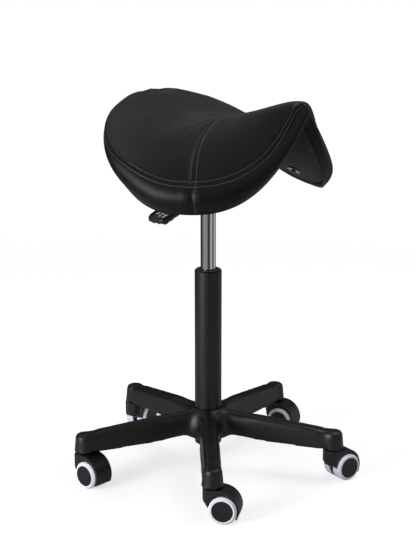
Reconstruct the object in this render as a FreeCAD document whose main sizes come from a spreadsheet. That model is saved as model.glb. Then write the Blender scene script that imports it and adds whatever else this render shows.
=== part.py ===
import FreeCAD, Part
import math
import os

import Sketcher

# Saddle stool: an upholstered saddle on a gas lift, a five-legged base and
# twin-wheel casters. Millimetres. Z is up, the floor is Z = 0, the column's
# axis is the Z axis, and the saddle's nose points along +X. The sitter's
# right-hand side, where the lift lever is, is -Y.

# Driving dimensions, with what each of them is
SIZES = [
    ("wheel_radius", 25.0, "outside of the soft tyre"),
    ("wheel_width", 19.0, "one wheel along its axle"),
    ("wheel_gap", 5.0, "from the caster's middle plane to a wheel's inner face"),
    ("tyre_seat_radius", 21.5, "wheel rim under the tyre"),
    ("disc_radius", 18.6, "black disc that shows inside the tyre"),
    ("axle_radius", 3.0, "wheel axle"),
    ("axle_bore_radius", 3.08, "running bore of a wheel"),
    ("axle_half", 19.0, "half of the axle's length"),
    ("trail", 21.4, "axle behind the stem"),
    ("web_half", 4.0, "half of the hood's middle web"),
    ("hood_half", 18.5, "half of the hood's width"),
    ("hood_top", 60.2, "height of the hood"),
    ("hood_arc", 35.2, "radius of the hood's back"),
    ("hood_arc_x", 15.0, "centre of the hood's back, behind the stem"),
    ("well_radius", 26.4, "wheel well in the hood"),
    ("nose_radius", 17.6, "round nose of the hood about the stem"),
    ("nose_bottom", 29.0, "lowest height of the nose"),
    ("stem_radius", 4.0, "lower stem, which the hood turns on"),
    ("stem_bore_radius", 4.08, "running bore of the hood"),
    ("stem_collar_radius", 9.0, "collar under the leg tip"),
    ("stem_top", 85.0, "top of the stem"),
    ("socket_radius", 5.5, "stem socket in a leg tip"),
    ("socket_top", 87.0, "end of the stem socket"),
    ("rim_height", 62.0, "underside of the leg tips"),
    ("stem_circle", 240.3, "stems from the column's axis"),
    ("tip_radius", 19.8, "leg tip at its rim"),
    ("tip_top_radius", 17.2, "leg tip under its rounded top"),
    ("tip_top", 96.0, "height of a leg at its tip"),
    ("leg_half", 19.0, "half of a leg's width at its foot"),
    ("leg_top_half", 15.0, "half of a leg's width at its top"),
    ("leg_round", 8.0, "rounded upper edges of a leg"),
    ("leg_root", 28.0, "start of a leg inside the hub"),
    ("leg_root_top", 117.0, "height of a leg at the hub"),
    ("leg_root_bottom", 71.0, "underside of a leg at the hub"),
    ("leg_wall", 3.2, "moulded wall of a leg"),
    ("channel_start", 64.0, "open channel under a leg, inner end"),
    ("channel_end", 214.0, "open channel under a leg, outer end"),
    ("rib_thickness", 2.6, "cross ribs in the channel"),
    ("hub_top", 120.0, "top of the hub"),
    ("hub_bottom", 60.0, "underside of the hub"),
    ("hub_radius", 55.0, "hub at its foot"),
    ("hub_neck_radius", 32.5, "hub at its top"),
    ("tube_radius", 25.0, "outer column tube"),
    ("tube_wall", 1.5, "wall of the column tube"),
    ("tube_bottom", 48.0, "lower end of the column tube"),
    ("tube_top", 382.0, "upper end of the column tube"),
    ("tube_floor_bore", 7.0, "hole in the tube's floor"),
    ("bush_bottom", 300.0, "lower end of the guide bush"),
    ("bush_cap", 4.0, "cap of the bush on the tube's end"),
    ("cylinder_radius", 14.0, "chromed pressure tube"),
    ("bush_bore_radius", 14.08, "running bore of the guide bush"),
    ("bore_radius", 12.0, "inside of the pressure tube"),
    ("cylinder_bottom", 184.0, "lower end of the pressure tube"),
    ("cone_bottom", 505.0, "start of the pressure tube's taper"),
    ("cone_top", 558.0, "end of the pressure tube's taper"),
    ("cone_top_radius", 13.2, "pressure tube at the end of its taper"),
    ("cylinder_top", 560.0, "upper end of the pressure tube"),
    ("valve_block", 545.0, "lower face of the valve block"),
    ("pin_radius", 4.0, "release pin"),
    ("pin_bore_radius", 4.08, "running bore of the release pin"),
    ("pin_bottom", 540.0, "lower end of the release pin"),
    ("pin_top", 568.0, "upper end of the release pin"),
    ("gland_top", 196.0, "upper face of the rod gland"),
    ("rod_radius", 5.0, "piston rod"),
    ("rod_bore_radius", 5.08, "running bore of the gland"),
    ("rod_bottom", 41.0, "lower end of the piston rod"),
    ("rod_top", 212.0, "upper end of the piston rod"),
    ("piston_radius", 11.92, "piston, running in the pressure tube"),
    ("piston_bottom", 200.0, "lower face of the piston"),
    ("plate_bottom", 575.0, "underside of the seat plate"),
    ("plate_thickness", 3.0, "pressed steel seat plate"),
    ("housing_half", 36.0, "half of the lift housing's square"),
    ("housing_bottom", 526.0, "underside of the lift housing"),
    ("housing_wall", 2.5, "wall of the lift housing"),
    ("socket_wall", 5.0, "wall of the cone socket"),
    ("socket_bottom", 500.0, "lower end of the cone socket"),
    ("pivot_y", -24.0, "lever pivot, across the stool"),
    ("pivot_z", 563.0, "lever pivot, height"),
    ("pivot_radius", 3.0, "lever pin"),
    ("pivot_bore_radius", 3.08, "running bore of the lever"),
    ("lever_radius", 4.0, "round rod of the lever"),
    ("paddle_length", 66.0, "moulded handle of the lever"),
    ("paddle_half", 19.0, "half of the handle's width"),
    ("paddle_thickness", 13.0, "handle's thickness"),
    ("bolt_radius", 4.0, "bolts of the seat plate"),
    ("bolt_hole_radius", 4.2, "holes for those bolts"),
    ("seat_front", 211.0, "saddle's front edge from the column's axis"),
    ("seat_rear", 142.0, "saddle's rear edge from the column's axis"),
    ("seat_half", 206.0, "half of the saddle's greatest width"),
    ("widest_x", -15.0, "where the saddle is widest"),
    ("ridge_low", 661.0, "lowest height of the ridge"),
    ("ridge_front", 716.0, "ridge at the nose"),
    ("ridge_rear", 706.0, "ridge at the rear edge"),
    ("flap_edge", 583.0, "seam's lowest height on a flap"),
    ("flap_foot", 531.0, "upholstery's lowest height on a flap"),
    ("pad_front", 48.0, "upholstery's thickness at the nose"),
    ("pad_middle", 58.0, "upholstery's thickness over the column"),
    ("board_thickness", 10.0, "moulded plywood board"),
    ("board_rise", 4.0, "board above the upholstery's underside"),
    ("board_inset", 10.0, "board inside the upholstery's edge"),
    ("pan_thickness", 3.0, "moulded under-cover"),
    ("block_foot", 578.0, "foot of the pan's mounting block"),
]

V = FreeCAD.Vector
UP = V(0, 0, 1)

doc = FreeCAD.newDocument("SaddleStool")
sheet = doc.addObject("Spreadsheet::Sheet", "Sizes")
parts = []


# The sheet of sizes

def add_size(row, name, number, note):
    """Put one plain number with its name and its note in a row of the sheet."""
    sheet.set("A%d" % row, name)
    sheet.set("B%d" % row, "%.4f" % number)
    sheet.setAlias("B%d" % row, name)
    sheet.set("C%d" % row, note)


for row, (name, number, note) in enumerate(SIZES, start=1):
    add_size(row, name, number, note)
doc.recompute()


def size(name):
    """A size as the sheet holds it."""
    return float(getattr(sheet, name))


def total(words):
    """The number that a sum of size names and plain numbers comes to."""
    result = 0.0
    sign = 1.0
    for word in words.split():
        if word in "+-":
            sign = 1.0 if word == "+" else -1.0
        elif word[0].isalpha():
            result += sign * size(word)
        else:
            result += sign * float(word)
    return result


def bound(words):
    """The same sum as an expression that reads the sheet."""
    return " ".join("Sizes." + word if word[0].isalpha() else word for word in words.split())


# Sketches and bodies

def new_body(label):
    """An empty body that becomes the sub-part of this name."""
    body = doc.addObject("PartDesign::Body", label)
    body.Label = label
    parts.append(body)
    return body


def origin_plane(body, role):
    """One of a body's own origin planes."""
    return [item for item in body.Origin.OriginFeatures if item.Role == role][0]


def pin_point(sketch, geometry, end, axis, words):
    """Hold one end of an edge at a distance from the sketch's origin, read from the sheet."""
    kind = "DistanceX" if axis == 0 else "DistanceY"
    if words == "0":
        sketch.addConstraint(Sketcher.Constraint("PointOnObject", geometry, end, -2 + axis))
        return
    index = sketch.addConstraint(
        Sketcher.Constraint(kind, -1, 1, geometry, end, total(words)))
    sketch.setExpression("Constraints[%d]" % index, bound(words))


def outline(body, name, role, corners, arcs=None, lift=0.0, axis_at=None):
    """A closed sketch on an origin plane, moved along its normal by lift.

    corners holds (across, up) sums of sizes. arcs maps the number of an edge
    to (radius, side): side 1 has the arc's centre on the left of the edge.
    axis_at adds an upright construction line there, to turn a profile about.
    """
    arcs = arcs or {}
    sketch = body.newObject("Sketcher::SketchObject", name)
    sketch.AttachmentSupport = [(origin_plane(body, role), "")]
    sketch.MapMode = "FlatFace"
    sketch.AttachmentOffset = FreeCAD.Placement(V(0, 0, lift), FreeCAD.Rotation())
    points = [V(total(a), total(b), 0) for a, b in corners]
    count = len(points)
    ends = []
    for i, start in enumerate(points):
        stop = points[(i + 1) % count]
        if i not in arcs:
            sketch.addGeometry(Part.LineSegment(start, stop), False)
            ends.append((1, 2))
            continue
        radius = total(arcs[i][0])
        side = arcs[i][1]
        chord = stop - start
        reach = math.sqrt(max(radius ** 2 - chord.Length ** 2 / 4, 0.0))
        across = V(-chord.y, chord.x, 0).normalize()
        centre = (start + stop) * 0.5 + across * (reach * side)
        angles = [math.atan2(p.y - centre.y, p.x - centre.x) for p in (start, stop)]
        if side < 0:
            angles.reverse()
        if angles[1] < angles[0]:
            angles[1] += 2 * math.pi
        sketch.addGeometry(Part.ArcOfCircle(Part.Circle(centre, UP, radius), *angles), False)
        ends.append((1, 2) if side > 0 else (2, 1))
    for i in range(count):
        follower = (i + 1) % count
        sketch.addConstraint(
            Sketcher.Constraint("Coincident", i, ends[i][1], follower, ends[follower][0]))
    for i, (across, up) in enumerate(corners):
        pin_point(sketch, i, ends[i][0], 0, across)
        pin_point(sketch, i, ends[i][0], 1, up)
    for i, (radius, side) in arcs.items():
        index = sketch.addConstraint(Sketcher.Constraint("Radius", i, total(radius)))
        sketch.setExpression("Constraints[%d]" % index, bound(radius))
    if axis_at is not None:
        at = total(axis_at)
        line = sketch.addGeometry(Part.LineSegment(V(at, 0, 0), V(at, 10, 0)), True)
        sketch.addConstraint(Sketcher.Constraint("Vertical", line))
        pin_point(sketch, line, 1, 0, axis_at)
        pin_point(sketch, line, 1, 1, "0")
        pin_point(sketch, line, 2, 1, "10")
    return sketch


def turned(label, corners, arcs=None):
    """A body of one profile turned about its own Z axis."""
    body = new_body(label)
    turn = body.newObject("PartDesign::Revolution", label + "_turn")
    turn.Profile = outline(body, label + "_profile", "XZ_Plane", corners, arcs)
    turn.ReferenceAxis = (turn.Profile[0], ["V_Axis"])
    turn.Angle = 360
    return body


def turn_feature(body, kind, name, sketch, axis):
    """A Revolution or a Groove of a sketch about one of the sketch's own axes."""
    feature = body.newObject("PartDesign::" + kind, name)
    feature.Profile = sketch
    feature.ReferenceAxis = (sketch, [axis])
    feature.Angle = 360
    return feature


def set_in_code(label, shape):
    """A sub-part whose shape comes straight from the lofts below."""
    feature = doc.addObject("Part::Feature", label)
    feature.Label = label
    feature.Shape = shape
    feature.Placement = FreeCAD.Placement()
    parts.append(feature)
    return feature


def group(label, members):
    """Separate solids that share one node."""
    compound = doc.addObject("Part::Compound", label)
    compound.Label = label
    compound.Links = members
    parts.append(compound)
    return compound


def primitive(kind, label, placement=None, **sizes):
    """A Part primitive whose sizes are bound to sums of the sheet's sizes."""
    item = doc.addObject("Part::" + kind, label)
    for key, words in sizes.items():
        item.setExpression(key, bound(words))
    if placement is not None:
        item.Placement = placement
    return item


def boolean(kind, label, base, tool):
    """A Part::Cut or Part::Common of two objects."""
    item = doc.addObject("Part::" + kind, label)
    item.Base = base
    item.Tool = tool
    return item


# Base: hub, five legs with open ribbed undersides, and tips with stem sockets

LEG_COUNT = 5
BASE_TURN = 25.2
RIBS = (96.0, 126.0, 156.0, 186.0)


def leg_height(along, root_name, tip_name):
    """Height of a straight line from the hub to the tip, at a distance from the axis."""
    share = (along - size("leg_root")) / (size("stem_circle") - size("leg_root"))
    return size(root_name) + share * (size(tip_name) - size(root_name))


def leg_side(height):
    """Half of a leg's width at a height: its sides lean in at one angle."""
    slope = (size("leg_half") - size("leg_top_half")) / (size("tip_top") - size("rim_height"))
    return size("leg_half") - slope * (height - size("rim_height"))


def base_star():
    """The moulded five-legged base."""
    first = len(SIZES) + 1
    names = []
    for i, along in enumerate((size("channel_start"), size("channel_end")) + RIBS):
        name = "channel_top_%d" % i
        add_size(first + i, name, leg_height(along, "leg_root_top", "tip_top") - 4.0,
                 "roof of a leg's channel at %.0f from the axis" % along)
        names.append(name)
    doc.recompute()

    body = new_body("base_star")
    hub = outline(
        body, "hub_profile", "XZ_Plane",
        [("tube_radius", "hub_bottom"), ("hub_radius - 2", "hub_bottom"),
         ("hub_radius", "hub_bottom + 3"), ("hub_radius - 3", "hub_top - 32"),
         ("hub_neck_radius + 10", "hub_top - 20"), ("hub_neck_radius + 4", "hub_top - 9"),
         ("hub_neck_radius", "hub_top - 2"), ("hub_neck_radius - 2", "hub_top"),
         ("tube_radius", "hub_top")])
    turn_feature(body, "Revolution", "hub", hub, "V_Axis")

    # One rounded section runs out along the slope of the leg's top
    drop = size("leg_root_top") - size("tip_top")
    reach = size("stem_circle") - size("leg_root")
    low = "%.3f" % leg_side(size("leg_root_bottom") - drop)
    high = "%.3f" % leg_side(size("leg_root_top") - size("leg_round"))
    flat = "%.3f" % (leg_side(size("leg_root_top")) - size("leg_round"))
    bottom = "leg_root_bottom - %.3f" % drop
    section = outline(
        body, "leg_section", "YZ_Plane",
        [("0 - " + low, bottom), (low, bottom), (high, "leg_root_top - leg_round"),
         (flat, "leg_root_top"), ("0 - " + flat, "leg_root_top"),
         ("0 - " + high, "leg_root_top - leg_round")],
        {2: ("leg_round", 1), 4: ("leg_round", 1)}, lift=size("leg_root"))
    leg = body.newObject("PartDesign::Pad", "leg")
    leg.Profile = section
    leg.UseCustomVector = True
    leg.Direction = V(reach, 0, -drop)
    leg.AlongSketchNormal = True
    leg.Length = reach
    underside = outline(
        body, "leg_underside", "XZ_Plane",
        [("hub_radius - 6", "20"), ("stem_circle + 2", "20"), ("stem_circle + 2", "rim_height"),
         ("hub_radius - 6", "leg_root_bottom - 1")])
    trim = body.newObject("PartDesign::Pocket", "leg_trim")
    trim.Profile = underside
    trim.Midplane = True
    trim.Length = 60

    knob = outline(
        body, "tip_profile", "XZ_Plane",
        [("stem_circle", "rim_height"), ("stem_circle + tip_radius", "rim_height"),
         ("stem_circle + tip_radius", "rim_height + 2.6"),
         ("stem_circle + tip_radius - 0.7", "rim_height + 3.4"),
         ("stem_circle + tip_top_radius", "tip_top - leg_round"),
         ("stem_circle + tip_top_radius - leg_round", "tip_top"),
         ("stem_circle", "tip_top")],
        {4: ("leg_round", 1)}, axis_at="stem_circle")
    knob_turn = turn_feature(body, "Revolution", "tip", knob, "Axis0")

    inner = outline(
        body, "channel_side", "XZ_Plane",
        [("channel_start", "50"), ("channel_end", "50"), ("channel_end", names[1]),
         ("channel_start", names[0])])
    channel = body.newObject("PartDesign::Pocket", "channel")
    channel.Profile = inner
    channel.Midplane = True
    channel.setExpression("Length", "2 * (Sizes.leg_top_half - Sizes.leg_wall + 1)")

    ribs = []
    for i, along in enumerate(RIBS):
        top = names[2 + i] + " + 1.5"
        low = "%.3f" % (leg_side(total("rim_height + 12")) - 1.5)
        high = "%.3f" % (leg_side(total(top)) - 1.5)
        section = outline(
            body, "rib_section_%d" % i, "YZ_Plane",
            [("0 - " + low, "rim_height + 12"), (low, "rim_height + 12"), (high, top),
             ("0 - " + high, top)],
            lift=along)
        rib = body.newObject("PartDesign::Pad", "rib_%d" % i)
        rib.Profile = section
        rib.setExpression("Length", "Sizes.rib_thickness")
        ribs.append(rib)

    hole = outline(
        body, "socket_profile", "XZ_Plane",
        [("stem_circle", "rim_height - 2"), ("stem_circle + socket_radius", "rim_height - 2"),
         ("stem_circle + socket_radius", "socket_top"), ("stem_circle", "socket_top")],
        axis_at="stem_circle")
    socket = turn_feature(body, "Groove", "socket", hole, "Axis0")

    pattern = body.newObject("PartDesign::PolarPattern", "legs")
    pattern.Originals = [leg, trim, knob_turn, channel] + ribs + [socket]
    pattern.Axis = (origin_plane(body, "Z_Axis"), [""])
    pattern.Angle = 360
    pattern.Occurrences = LEG_COUNT
    body.Tip = pattern
    body.Placement = FreeCAD.Placement(V(), FreeCAD.Rotation(UP, BASE_TURN))
    return body


# Column: outer tube, guide bush, thrust bearing, piston rod and pressure tube

def column():
    """Everything on the column's axis between the floor and the seat."""
    turned("column_tube", [
        ("tube_floor_bore", "tube_bottom"), ("tube_radius - 3", "tube_bottom"),
        ("tube_radius", "tube_bottom + 3"), ("tube_radius", "tube_top"),
        ("tube_radius - tube_wall", "tube_top"),
        ("tube_radius - tube_wall", "tube_bottom + 2"),
        ("tube_floor_bore", "tube_bottom + 2")], {1: ("3", 1)})
    turned("guide_bush", [
        ("bush_bore_radius", "bush_bottom"), ("tube_radius - tube_wall", "bush_bottom"),
        ("tube_radius - tube_wall", "tube_top"), ("tube_radius", "tube_top"),
        ("tube_radius", "tube_top + 1.6"), ("tube_radius - 2.4", "tube_top + bush_cap"),
        ("bush_bore_radius + 2.2", "tube_top + bush_cap"),
        ("bush_bore_radius", "tube_top + 2.4")])

    rings = []
    for name, low, high, radius in (("race_lower", 50.0, 52.0, 13.0),
                                    ("ball_cage", 52.0, 57.0, 12.0),
                                    ("race_upper", 57.0, 59.0, 13.0)):
        place = FreeCAD.Placement(V(0, 0, low), FreeCAD.Rotation())
        disc = primitive("Cylinder", name + "_disc", place,
                         Radius="%.1f" % radius, Height="%.1f" % (high - low))
        bore = primitive("Cylinder", name + "_bore", place,
                         Radius="tube_floor_bore", Height="%.1f" % (high - low))
        rings.append(boolean("Cut", name, disc, bore))
    group("thrust_bearing", rings)

    turned("piston_rod", [
        ("0", "rod_bottom"), ("rod_radius - 1", "rod_bottom"), ("rod_radius", "rod_bottom + 1"),
        ("rod_radius", "46"), ("rod_radius - 1", "46"), ("rod_radius - 1", "47.6"),
        ("rod_radius", "47.6"), ("rod_radius", "59.3"), ("rod_radius + 3", "59.3"),
        ("rod_radius + 3", "62"), ("rod_radius", "62"), ("rod_radius", "rod_top"),
        ("0", "rod_top")])
    turned("retaining_clip", [
        ("rod_radius - 1", "46"), ("rod_radius + 4", "46"), ("rod_radius + 4", "47.6"),
        ("rod_radius - 1", "47.6")])
    turned("bump_stop", [
        ("rod_radius", "62"), ("rod_radius + 4.5", "62"), ("rod_radius + 6", "71"),
        ("rod_radius + 4.5", "80"), ("rod_radius", "80")])
    turned("piston", [
        ("rod_radius", "piston_bottom"), ("piston_radius", "piston_bottom"),
        ("piston_radius", "piston_bottom + 4"), ("piston_radius - 1.6", "piston_bottom + 4"),
        ("piston_radius - 1.6", "piston_bottom + 8"), ("piston_radius", "piston_bottom + 8"),
        ("piston_radius", "rod_top"), ("rod_radius", "rod_top")])

    turned("gas_cylinder", [
        ("bore_radius", "cylinder_bottom"), ("cylinder_radius - 1", "cylinder_bottom"),
        ("cylinder_radius", "cylinder_bottom + 1"), ("cylinder_radius", "cone_bottom"),
        ("cone_top_radius", "cone_top"), ("cone_top_radius - 2", "cylinder_top"),
        ("pin_bore_radius", "cylinder_top"), ("pin_bore_radius", "valve_block"),
        ("bore_radius", "valve_block")])
    turned("cylinder_gland", [
        ("rod_bore_radius", "cylinder_bottom"), ("bore_radius", "cylinder_bottom"),
        ("bore_radius", "gland_top"), ("rod_bore_radius", "gland_top")])
    turned("release_pin", [
        ("0", "pin_bottom"), ("pin_radius - 0.8", "pin_bottom"), ("pin_radius", "pin_bottom + 0.8"),
        ("pin_radius", "pin_top - 0.8"), ("pin_radius - 0.8", "pin_top"), ("0", "pin_top")])


# Casters: stem, hood, axle and two wheels with soft tyres, five times over

# Heading of each caster's trail, as the five stand in the picture, by leg
CASTER_HEADINGS = (75.4, 11.4, 101.4, -0.6, 29.4)


def caster_place(index):
    """Where a caster stands: its stem's axis on the floor and its heading."""
    leg = math.radians(BASE_TURN + 360 / LEG_COUNT * index)
    reach = size("stem_circle")
    foot = V(reach * math.cos(leg), reach * math.sin(leg), 0)
    return FreeCAD.Placement(foot, FreeCAD.Rotation(UP, CASTER_HEADINGS[index]))


def caster_stem(label):
    """Steel stem, pressed into the leg: the hood turns on its lower end."""
    return turned(label, [
        ("0", "hood_top - 14"), ("stem_radius", "hood_top - 14"),
        ("stem_radius", "hood_top + 0.3"), ("stem_collar_radius", "hood_top + 0.3"),
        ("stem_collar_radius", "rim_height"), ("socket_radius", "rim_height"),
        ("socket_radius", "stem_top - 2"), ("socket_radius - 2", "stem_top"),
        ("0", "stem_top")])


def caster_hood(label):
    """Moulded hood: a round nose about the stem, a curved back and a middle web."""
    body = new_body(label)
    side = outline(
        body, label + "_side", "XZ_Plane",
        [("-9", "hood_top"), ("-9", "34"), ("-3", "24"), ("14", "9"), ("33", "9"),
         ("35", "14"), ("38", "14"), ("41", "9.8"), ("46.4", "9.8"),
         ("hood_arc_x + hood_arc", "wheel_radius"), ("hood_arc_x", "hood_top")],
        {8: ("hood_arc", 1), 9: ("hood_arc", 1)})
    pad = body.newObject("PartDesign::Pad", label + "_pad")
    pad.Profile = side
    pad.Midplane = True
    pad.setExpression("Length", "2 * Sizes.hood_half")
    nose = outline(
        body, label + "_nose", "XZ_Plane",
        [("0", "nose_bottom"), ("nose_radius - 7", "nose_bottom"),
         ("nose_radius - 1.5", "nose_bottom + 4"), ("nose_radius", "nose_bottom + 10"),
         ("nose_radius", "hood_top"), ("0", "hood_top")])
    turn_feature(body, "Revolution", label + "_nose_turn", nose, "V_Axis")
    # The two wheel wells are turned about the axle, at both sides of the web
    for name, low, high in (("left", "web_half", "hood_half + 2"),
                            ("right", "0 - hood_half - 2", "0 - web_half")):
        well = outline(
            body, "%s_well_%s" % (label, name), "XY_Plane",
            [("trail", low), ("trail + well_radius", low), ("trail + well_radius", high),
             ("trail", high)],
            lift=size("wheel_radius"), axis_at="trail")
        turn_feature(body, "Groove", "%s_groove_%s" % (label, name), well, "Axis0")
    hole = outline(
        body, label + "_axle_hole", "XY_Plane",
        [("trail", "0 - web_half - 1"), ("trail + axle_radius", "0 - web_half - 1"),
         ("trail + axle_radius", "web_half + 1"), ("trail", "web_half + 1")],
        lift=size("wheel_radius"), axis_at="trail")
    turn_feature(body, "Groove", label + "_axle_bore", hole, "Axis0")
    bore = outline(
        body, label + "_stem_hole", "XZ_Plane",
        [("0", "hood_top - 15"), ("stem_bore_radius", "hood_top - 15"),
         ("stem_bore_radius", "hood_top + 2"), ("0", "hood_top + 2")])
    turn_feature(body, "Groove", label + "_stem_bore", bore, "V_Axis")
    return body


def caster_axle(label):
    """Plain steel axle, standing on its local Z axis."""
    return turned(label, [
        ("0", "0 - axle_half"), ("axle_radius", "0 - axle_half"), ("axle_radius", "axle_half"),
        ("0", "axle_half")])


def wheel_core(label):
    """Wheel with a blind axle bore and a black disc that shows inside the tyre."""
    return turned(label, [
        ("axle_bore_radius", "0"), ("tyre_seat_radius", "0"),
        ("tyre_seat_radius", "wheel_width - 3"), ("disc_radius", "wheel_width + 0.3"),
        ("0", "wheel_width + 0.3"), ("0", "wheel_width - 3"),
        ("axle_bore_radius", "wheel_width - 3")])


def wheel_tyre(label):
    """Soft tyre with a bevelled outer shoulder that wraps onto the wheel's face."""
    return turned(label, [
        ("tyre_seat_radius", "0.5"), ("wheel_radius", "0.5"),
        ("wheel_radius", "wheel_width - 4"), ("wheel_radius - 3", "wheel_width - 0.2"),
        ("disc_radius + 0.54", "wheel_width - 0.2"), ("tyre_seat_radius", "wheel_width - 3")])


def casters():
    """The five casters."""
    for index in range(LEG_COUNT):
        place = caster_place(index)
        number = index + 1
        caster_stem("caster_stem_%d" % number).Placement = place
        caster_hood("caster_hood_%d" % number).Placement = place
        hub = place * FreeCAD.Placement(V(size("trail"), 0, size("wheel_radius")),
                                        FreeCAD.Rotation())
        to_left = FreeCAD.Rotation(V(1, 0, 0), -90)
        to_right = FreeCAD.Rotation(V(1, 0, 0), 90)
        caster_axle("caster_axle_%d" % number).Placement = hub * FreeCAD.Placement(V(), to_left)
        for side, turn, way in (("left", to_left, 1), ("right", to_right, -1)):
            seat = hub * FreeCAD.Placement(V(0, way * size("wheel_gap"), 0), turn)
            wheel_core("wheel_%s_%d" % (side, number)).Placement = seat
            wheel_tyre("tyre_%s_%d" % (side, number)).Placement = seat


# Lift mechanism under the seat: plate, housing, lever and bolts

BOLT_PLACES = [(-52.0, -45.0), (-52.0, 45.0), (46.0, -45.0), (46.0, 45.0)]
PLATE_FRONT = 66.0
PLATE_REAR = -72.0
PLATE_HALF = 62.0


def seat_plate():
    """Pressed steel plate with rounded corners and four bolt holes."""
    body = new_body("seat_plate")
    front, rear, half, corner = PLATE_FRONT, PLATE_REAR, PLATE_HALF, 12.0
    corners = [
        (rear + corner, -half), (front - corner, -half), (front, corner - half),
        (front, half - corner), (front - corner, half), (rear + corner, half),
        (rear, half - corner), (rear, corner - half)]
    words = [("%.1f" % a, "%.1f" % b) for a, b in corners]
    arcs = {i: ("%.1f" % corner, 1) for i in (1, 3, 5, 7)}
    sheet_metal = body.newObject("PartDesign::Pad", "plate_pad")
    sheet_metal.Profile = outline(body, "plate_outline", "XY_Plane", words, arcs,
                                  lift=size("plate_bottom"))
    sheet_metal.setExpression("Length", "Sizes.plate_thickness")
    for i, (x, y) in enumerate(BOLT_PLACES):
        hole = outline(
            body, "plate_hole_%d" % i, "XZ_Plane",
            [("%.1f" % x, "plate_bottom - 1"),
             ("%.1f + bolt_hole_radius" % x, "plate_bottom - 1"),
             ("%.1f + bolt_hole_radius" % x, "plate_bottom + 6"),
             ("%.1f" % x, "plate_bottom + 6")],
            lift=-y, axis_at="%.1f" % x)
        turn_feature(body, "Groove", "plate_bore_%d" % i, hole, "Axis0")
    return body


def lift_housing():
    """Welded box with a cone socket for the pressure tube and lugs for the lever pin."""
    half = size("housing_half")
    wall = size("housing_wall")
    bottom = size("housing_bottom")
    top = size("plate_bottom")
    box = Part.makeBox(2 * half, 2 * half, top - bottom, V(-half, -half, bottom))
    box = box.makeFillet(6.0, [edge for edge in box.Edges if abs(edge.tangentAt(0).z) > 0.9])
    inside = Part.makeBox(2 * (half - wall), 2 * (half - wall), top - bottom,
                          V(wall - half, wall - half, bottom + wall))
    shell = box.cut(inside)
    outer = size("cylinder_radius") + size("socket_wall")
    socket = Part.makeCylinder(outer, size("cone_top") - size("socket_bottom"),
                               V(0, 0, size("socket_bottom")))
    lugs = []
    for x in (-13.0, 10.0):
        lugs.append(Part.makeBox(3.0, 18.0, 14.0, V(x, wall - half, top - 20.0)))
    body = shell.multiFuse([socket] + lugs)
    straight = Part.makeCylinder(size("cylinder_radius"),
                                 size("cone_bottom") - size("socket_bottom") + 2,
                                 V(0, 0, size("socket_bottom") - 2))
    cone = Part.makeCone(size("cylinder_radius"), size("cone_top_radius"),
                         size("cone_top") - size("cone_bottom"), V(0, 0, size("cone_bottom")))
    slot = Part.makeBox(15.0, 8.0, 20.0, V(-7.5, -half - 4, size("pivot_z") - 9))
    pin = Part.makeCylinder(size("pivot_radius"), 60.0, V(-30, size("pivot_y"), size("pivot_z")),
                            V(1, 0, 0))
    return set_in_code("lift_housing", body.cut(straight.fuse(cone)).cut(slot).cut(pin))


ELBOW_Y = -52.0
HANDLE_Y = -107.0
HANDLE_Z = 508.0
HANDLE_TILT = 17.0
HANDLE_GRIP = 24.0


def bent_rod(corners, bends, radius):
    """A round rod through corner points, bent at the inner ones."""
    edges = []
    begin = corners[0]
    for before, corner, after, bend in zip(corners, corners[1:], corners[2:], bends):
        inward = (corner - before).normalize()
        outward = (after - corner).normalize()
        turn = inward.getAngle(outward) / 2
        first = corner - inward * (bend * math.tan(turn))
        last = corner + outward * (bend * math.tan(turn))
        to_centre = (outward - inward).normalize()
        middle = corner + to_centre * (bend / math.cos(turn) - bend)
        edges += [Part.makeLine(begin, first), arc(first, middle, last)]
        begin = last
    edges.append(Part.makeLine(begin, corners[-1]))
    circle = Part.Wire(Part.makeCircle(radius, corners[0], corners[1] - corners[0]))
    return Part.Wire(edges).makePipeShell([circle], True, False)


def lever():
    """Lever pin, bent lever with its pressing nose, and the moulded handle."""
    y = size("pivot_y")
    z = size("pivot_z")
    across = V(1, 0, 0)
    pin = primitive("Cylinder", "lever_pin",
                    FreeCAD.Placement(V(-13, y, z), FreeCAD.Rotation(UP, across)),
                    Radius="pivot_radius", Height="26")
    parts.append(pin)

    # The rod runs out level, bends down, bends out again and ends in the handle
    out = FreeCAD.Rotation(across, HANDLE_TILT).multVec(V(0, -1, 0))
    grip = V(0, HANDLE_Y, HANDLE_Z)
    corners = [V(0, y, z), V(0, ELBOW_Y, z), grip - out * 14.0, grip + out * HANDLE_GRIP]
    rod = bent_rod(corners, (20.0, 14.0), size("lever_radius"))
    barrel = Part.makeCylinder(6.0, 18.0, V(-9, y, z), across)
    nose_z = size("pin_top") + 0.3 + 2.6
    nose = Part.makeCylinder(2.6, 10.0, V(-5, 0, nose_z), across)
    arm_points = [V(-5, y, z + 5.6), V(-5, y + 2, z - 2), V(-5, 0, nose_z - 1.6),
                  V(-5, 0, nose_z + 1.6)]
    arm = Part.Face(Part.makePolygon(arm_points + arm_points[:1])).extrude(V(10, 0, 0))
    solid = rod.multiFuse([barrel, nose, arm])
    bore = Part.makeCylinder(size("pivot_bore_radius"), 24.0, V(-12, y, z), across)
    set_in_code("lever_rod", solid.cut(bore))
    return grip, out




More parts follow.
